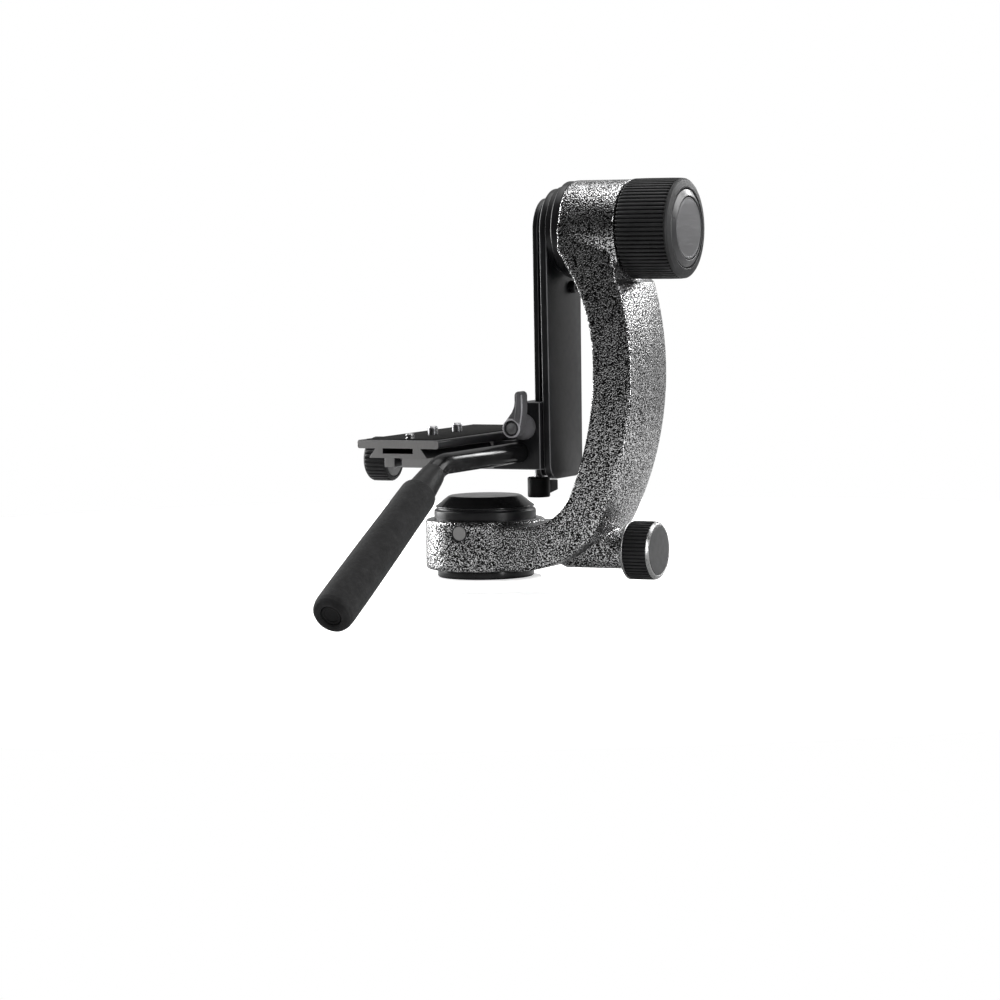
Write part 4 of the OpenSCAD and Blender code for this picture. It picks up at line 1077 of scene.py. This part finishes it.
def white_room():
    """A world that is white to the camera, soft as light and darker in reflections."""
    world = bpy.data.worlds.new("white_room")
    world.use_nodes = True
    made = Nodes(world.node_tree)
    white = (1, 1, 1, 1)
    ground = made.tree.nodes["Background"]
    made.feed(ground.inputs["Color"], white)
    made.feed(ground.inputs["Strength"], 0.34)
    shown = made.add("ShaderNodeBackground", {"Color": white, "Strength": 1.0})
    heading = made.add("ShaderNodeTexCoord").outputs["Generated"]
    side = made.add("ShaderNodeVectorMath", operation="DOT_PRODUCT")
    made.feed(side.inputs[0], heading)
    made.feed(side.inputs[1], (0.1, -0.98, 0.12))
    height = made.maths("MULTIPLY_ADD", side.outputs["Value"], 0.5, 0.5)
    mirrored = made.add("ShaderNodeBackground", {
        "Color": made.ramp(height, (0.3, 0.45), (0.62, 0.02)), "Strength": 1.0})
    rays = made.add("ShaderNodeLightPath").outputs
    direct = made.maths("MAXIMUM", rays["Is Camera Ray"], rays["Is Transmission Ray"])
    gloss = made.mix(rays["Is Glossy Ray"], ground, mirrored)
    made.feed(made.tree.nodes["World Output"].inputs[0], made.mix(direct, gloss, shown))
    return world


class GimbalSetStage(bpy.types.Operator):
    """Sets the camera, the soft lamps, the white surroundings and the floor"""
    bl_idname = "gimbal.set_stage"
    bl_label = "Stage"

    def execute(self, context):
        scene = context.scene
        turn, pitch, roll = (math.radians(v) for v in (25.89, 4.46, -0.95))
        ahead = Vector((-math.sin(turn) * math.cos(pitch), math.cos(turn) * math.cos(pitch),
                        -math.sin(pitch)))
        right = Vector((math.cos(turn), math.sin(turn), 0))
        up = right.cross(ahead)
        right, up = (right * math.cos(roll) + up * math.sin(roll),
                     up * math.cos(roll) - right * math.sin(roll))
        seen_from = bpy.data.cameras.new("view_camera")
        seen_from.lens = 142.2
        seen_from.sensor_width = 36
        seen_from.clip_end = 50
        place = Matrix((right, up, -ahead)).transposed().to_4x4()
        place.translation = (1.0562, -2.1551, 0.2332)
        scene.camera = linked("view_camera", seen_from)
        scene.camera.matrix_world = place

        soft_lamp("left_softbox", (0.9, 1.6), 40, (-1.4, 0.15, 0.45), (0, 0, 0.1))
        soft_lamp("right_softbox", (0.9, 1.0), 18, (1.25, 0.9, 0.95), (0.05, 0, 0.16))
        soft_lamp("rear_strip", (0.3, 0.4), 6, (0.52, 1.5, 0.66), (0.05, 0, 0.1))
        soft_lamp("right_strip", (0.24, 1.5), 12, (1.55, -0.72, 0.4), (0.05, 0, 0.14))
        soft_lamp("top_softbox", (1.4, 1.4), 17, (0.0, 0.2, 1.7), (0, 0, 0.1))
        scene.world = white_room()

        bm = bmesh.new()
        bmesh.ops.create_circle(bm, cap_ends=True, segments=96, radius=700)
        floor = piece_from(bm, "pale_floor", upward(0, 0, FLOOR_Z))
        floor.data.materials.append(pale_surface("pale_floor", 0.86, 0.72))
        disc = turned("pale_disc", [
            (0, FLOOR_Z), (34, FLOOR_Z), (34, -0.05), (0, -0.05)], upward(), 1.0)
        disc.data.materials.append(pale_surface("pale_disc", 0.82, 0.62))
        scene.view_settings.view_transform = "Standard"
        return {"FINISHED"}


class GimbalLooksPanel(bpy.types.Panel):
    """Lists the steps that dress the gimbal head"""
    bl_idname = "GIMBAL_PT_looks"
    bl_label = "Gimbal head looks"
    bl_space_type = "VIEW_3D"
    bl_region_type = "UI"
    bl_category = "Gimbal"

    def draw(self, context):
        layout = self.layout
        for settings in (context.scene.gimbal_finish, context.scene.gimbal_shape):
            for name in settings.bl_rna.properties.keys():
                if name not in ("rna_type", "name"):
                    layout.prop(settings, name)
        for step in STEPS:
            layout.operator(step.bl_idname, text=step.bl_label)


STEPS = (GimbalSetStage, GimbalDressFasteners, GimbalDressCast, GimbalDressHub,
         GimbalDressTiltKnob, GimbalDressPanLock, GimbalDressSwing, GimbalDressPlatform,
         GimbalDressClamp, GimbalDressLensPlate, GimbalDressLever, GimbalDressPanBar)
CLASSES = (GimbalFinishSettings, GimbalShapeSettings) + STEPS + (GimbalLooksPanel,)


def register():
    for kind in CLASSES:
        bpy.utils.register_class(kind)
    bpy.types.Scene.gimbal_finish = PointerProperty(type=GimbalFinishSettings)
    bpy.types.Scene.gimbal_shape = PointerProperty(type=GimbalShapeSettings)


def unregister():
    del bpy.types.Scene.gimbal_shape
    del bpy.types.Scene.gimbal_finish
    for kind in reversed(CLASSES):
        bpy.utils.unregister_class(kind)


def main():
    register()
    make_finishes(bpy.context.scene.gimbal_finish)
    for step in STEPS:
        group, name = step.bl_idname.split(".")
        getattr(getattr(bpy.ops, group), name)()


if __name__ == "__main__":
    main()
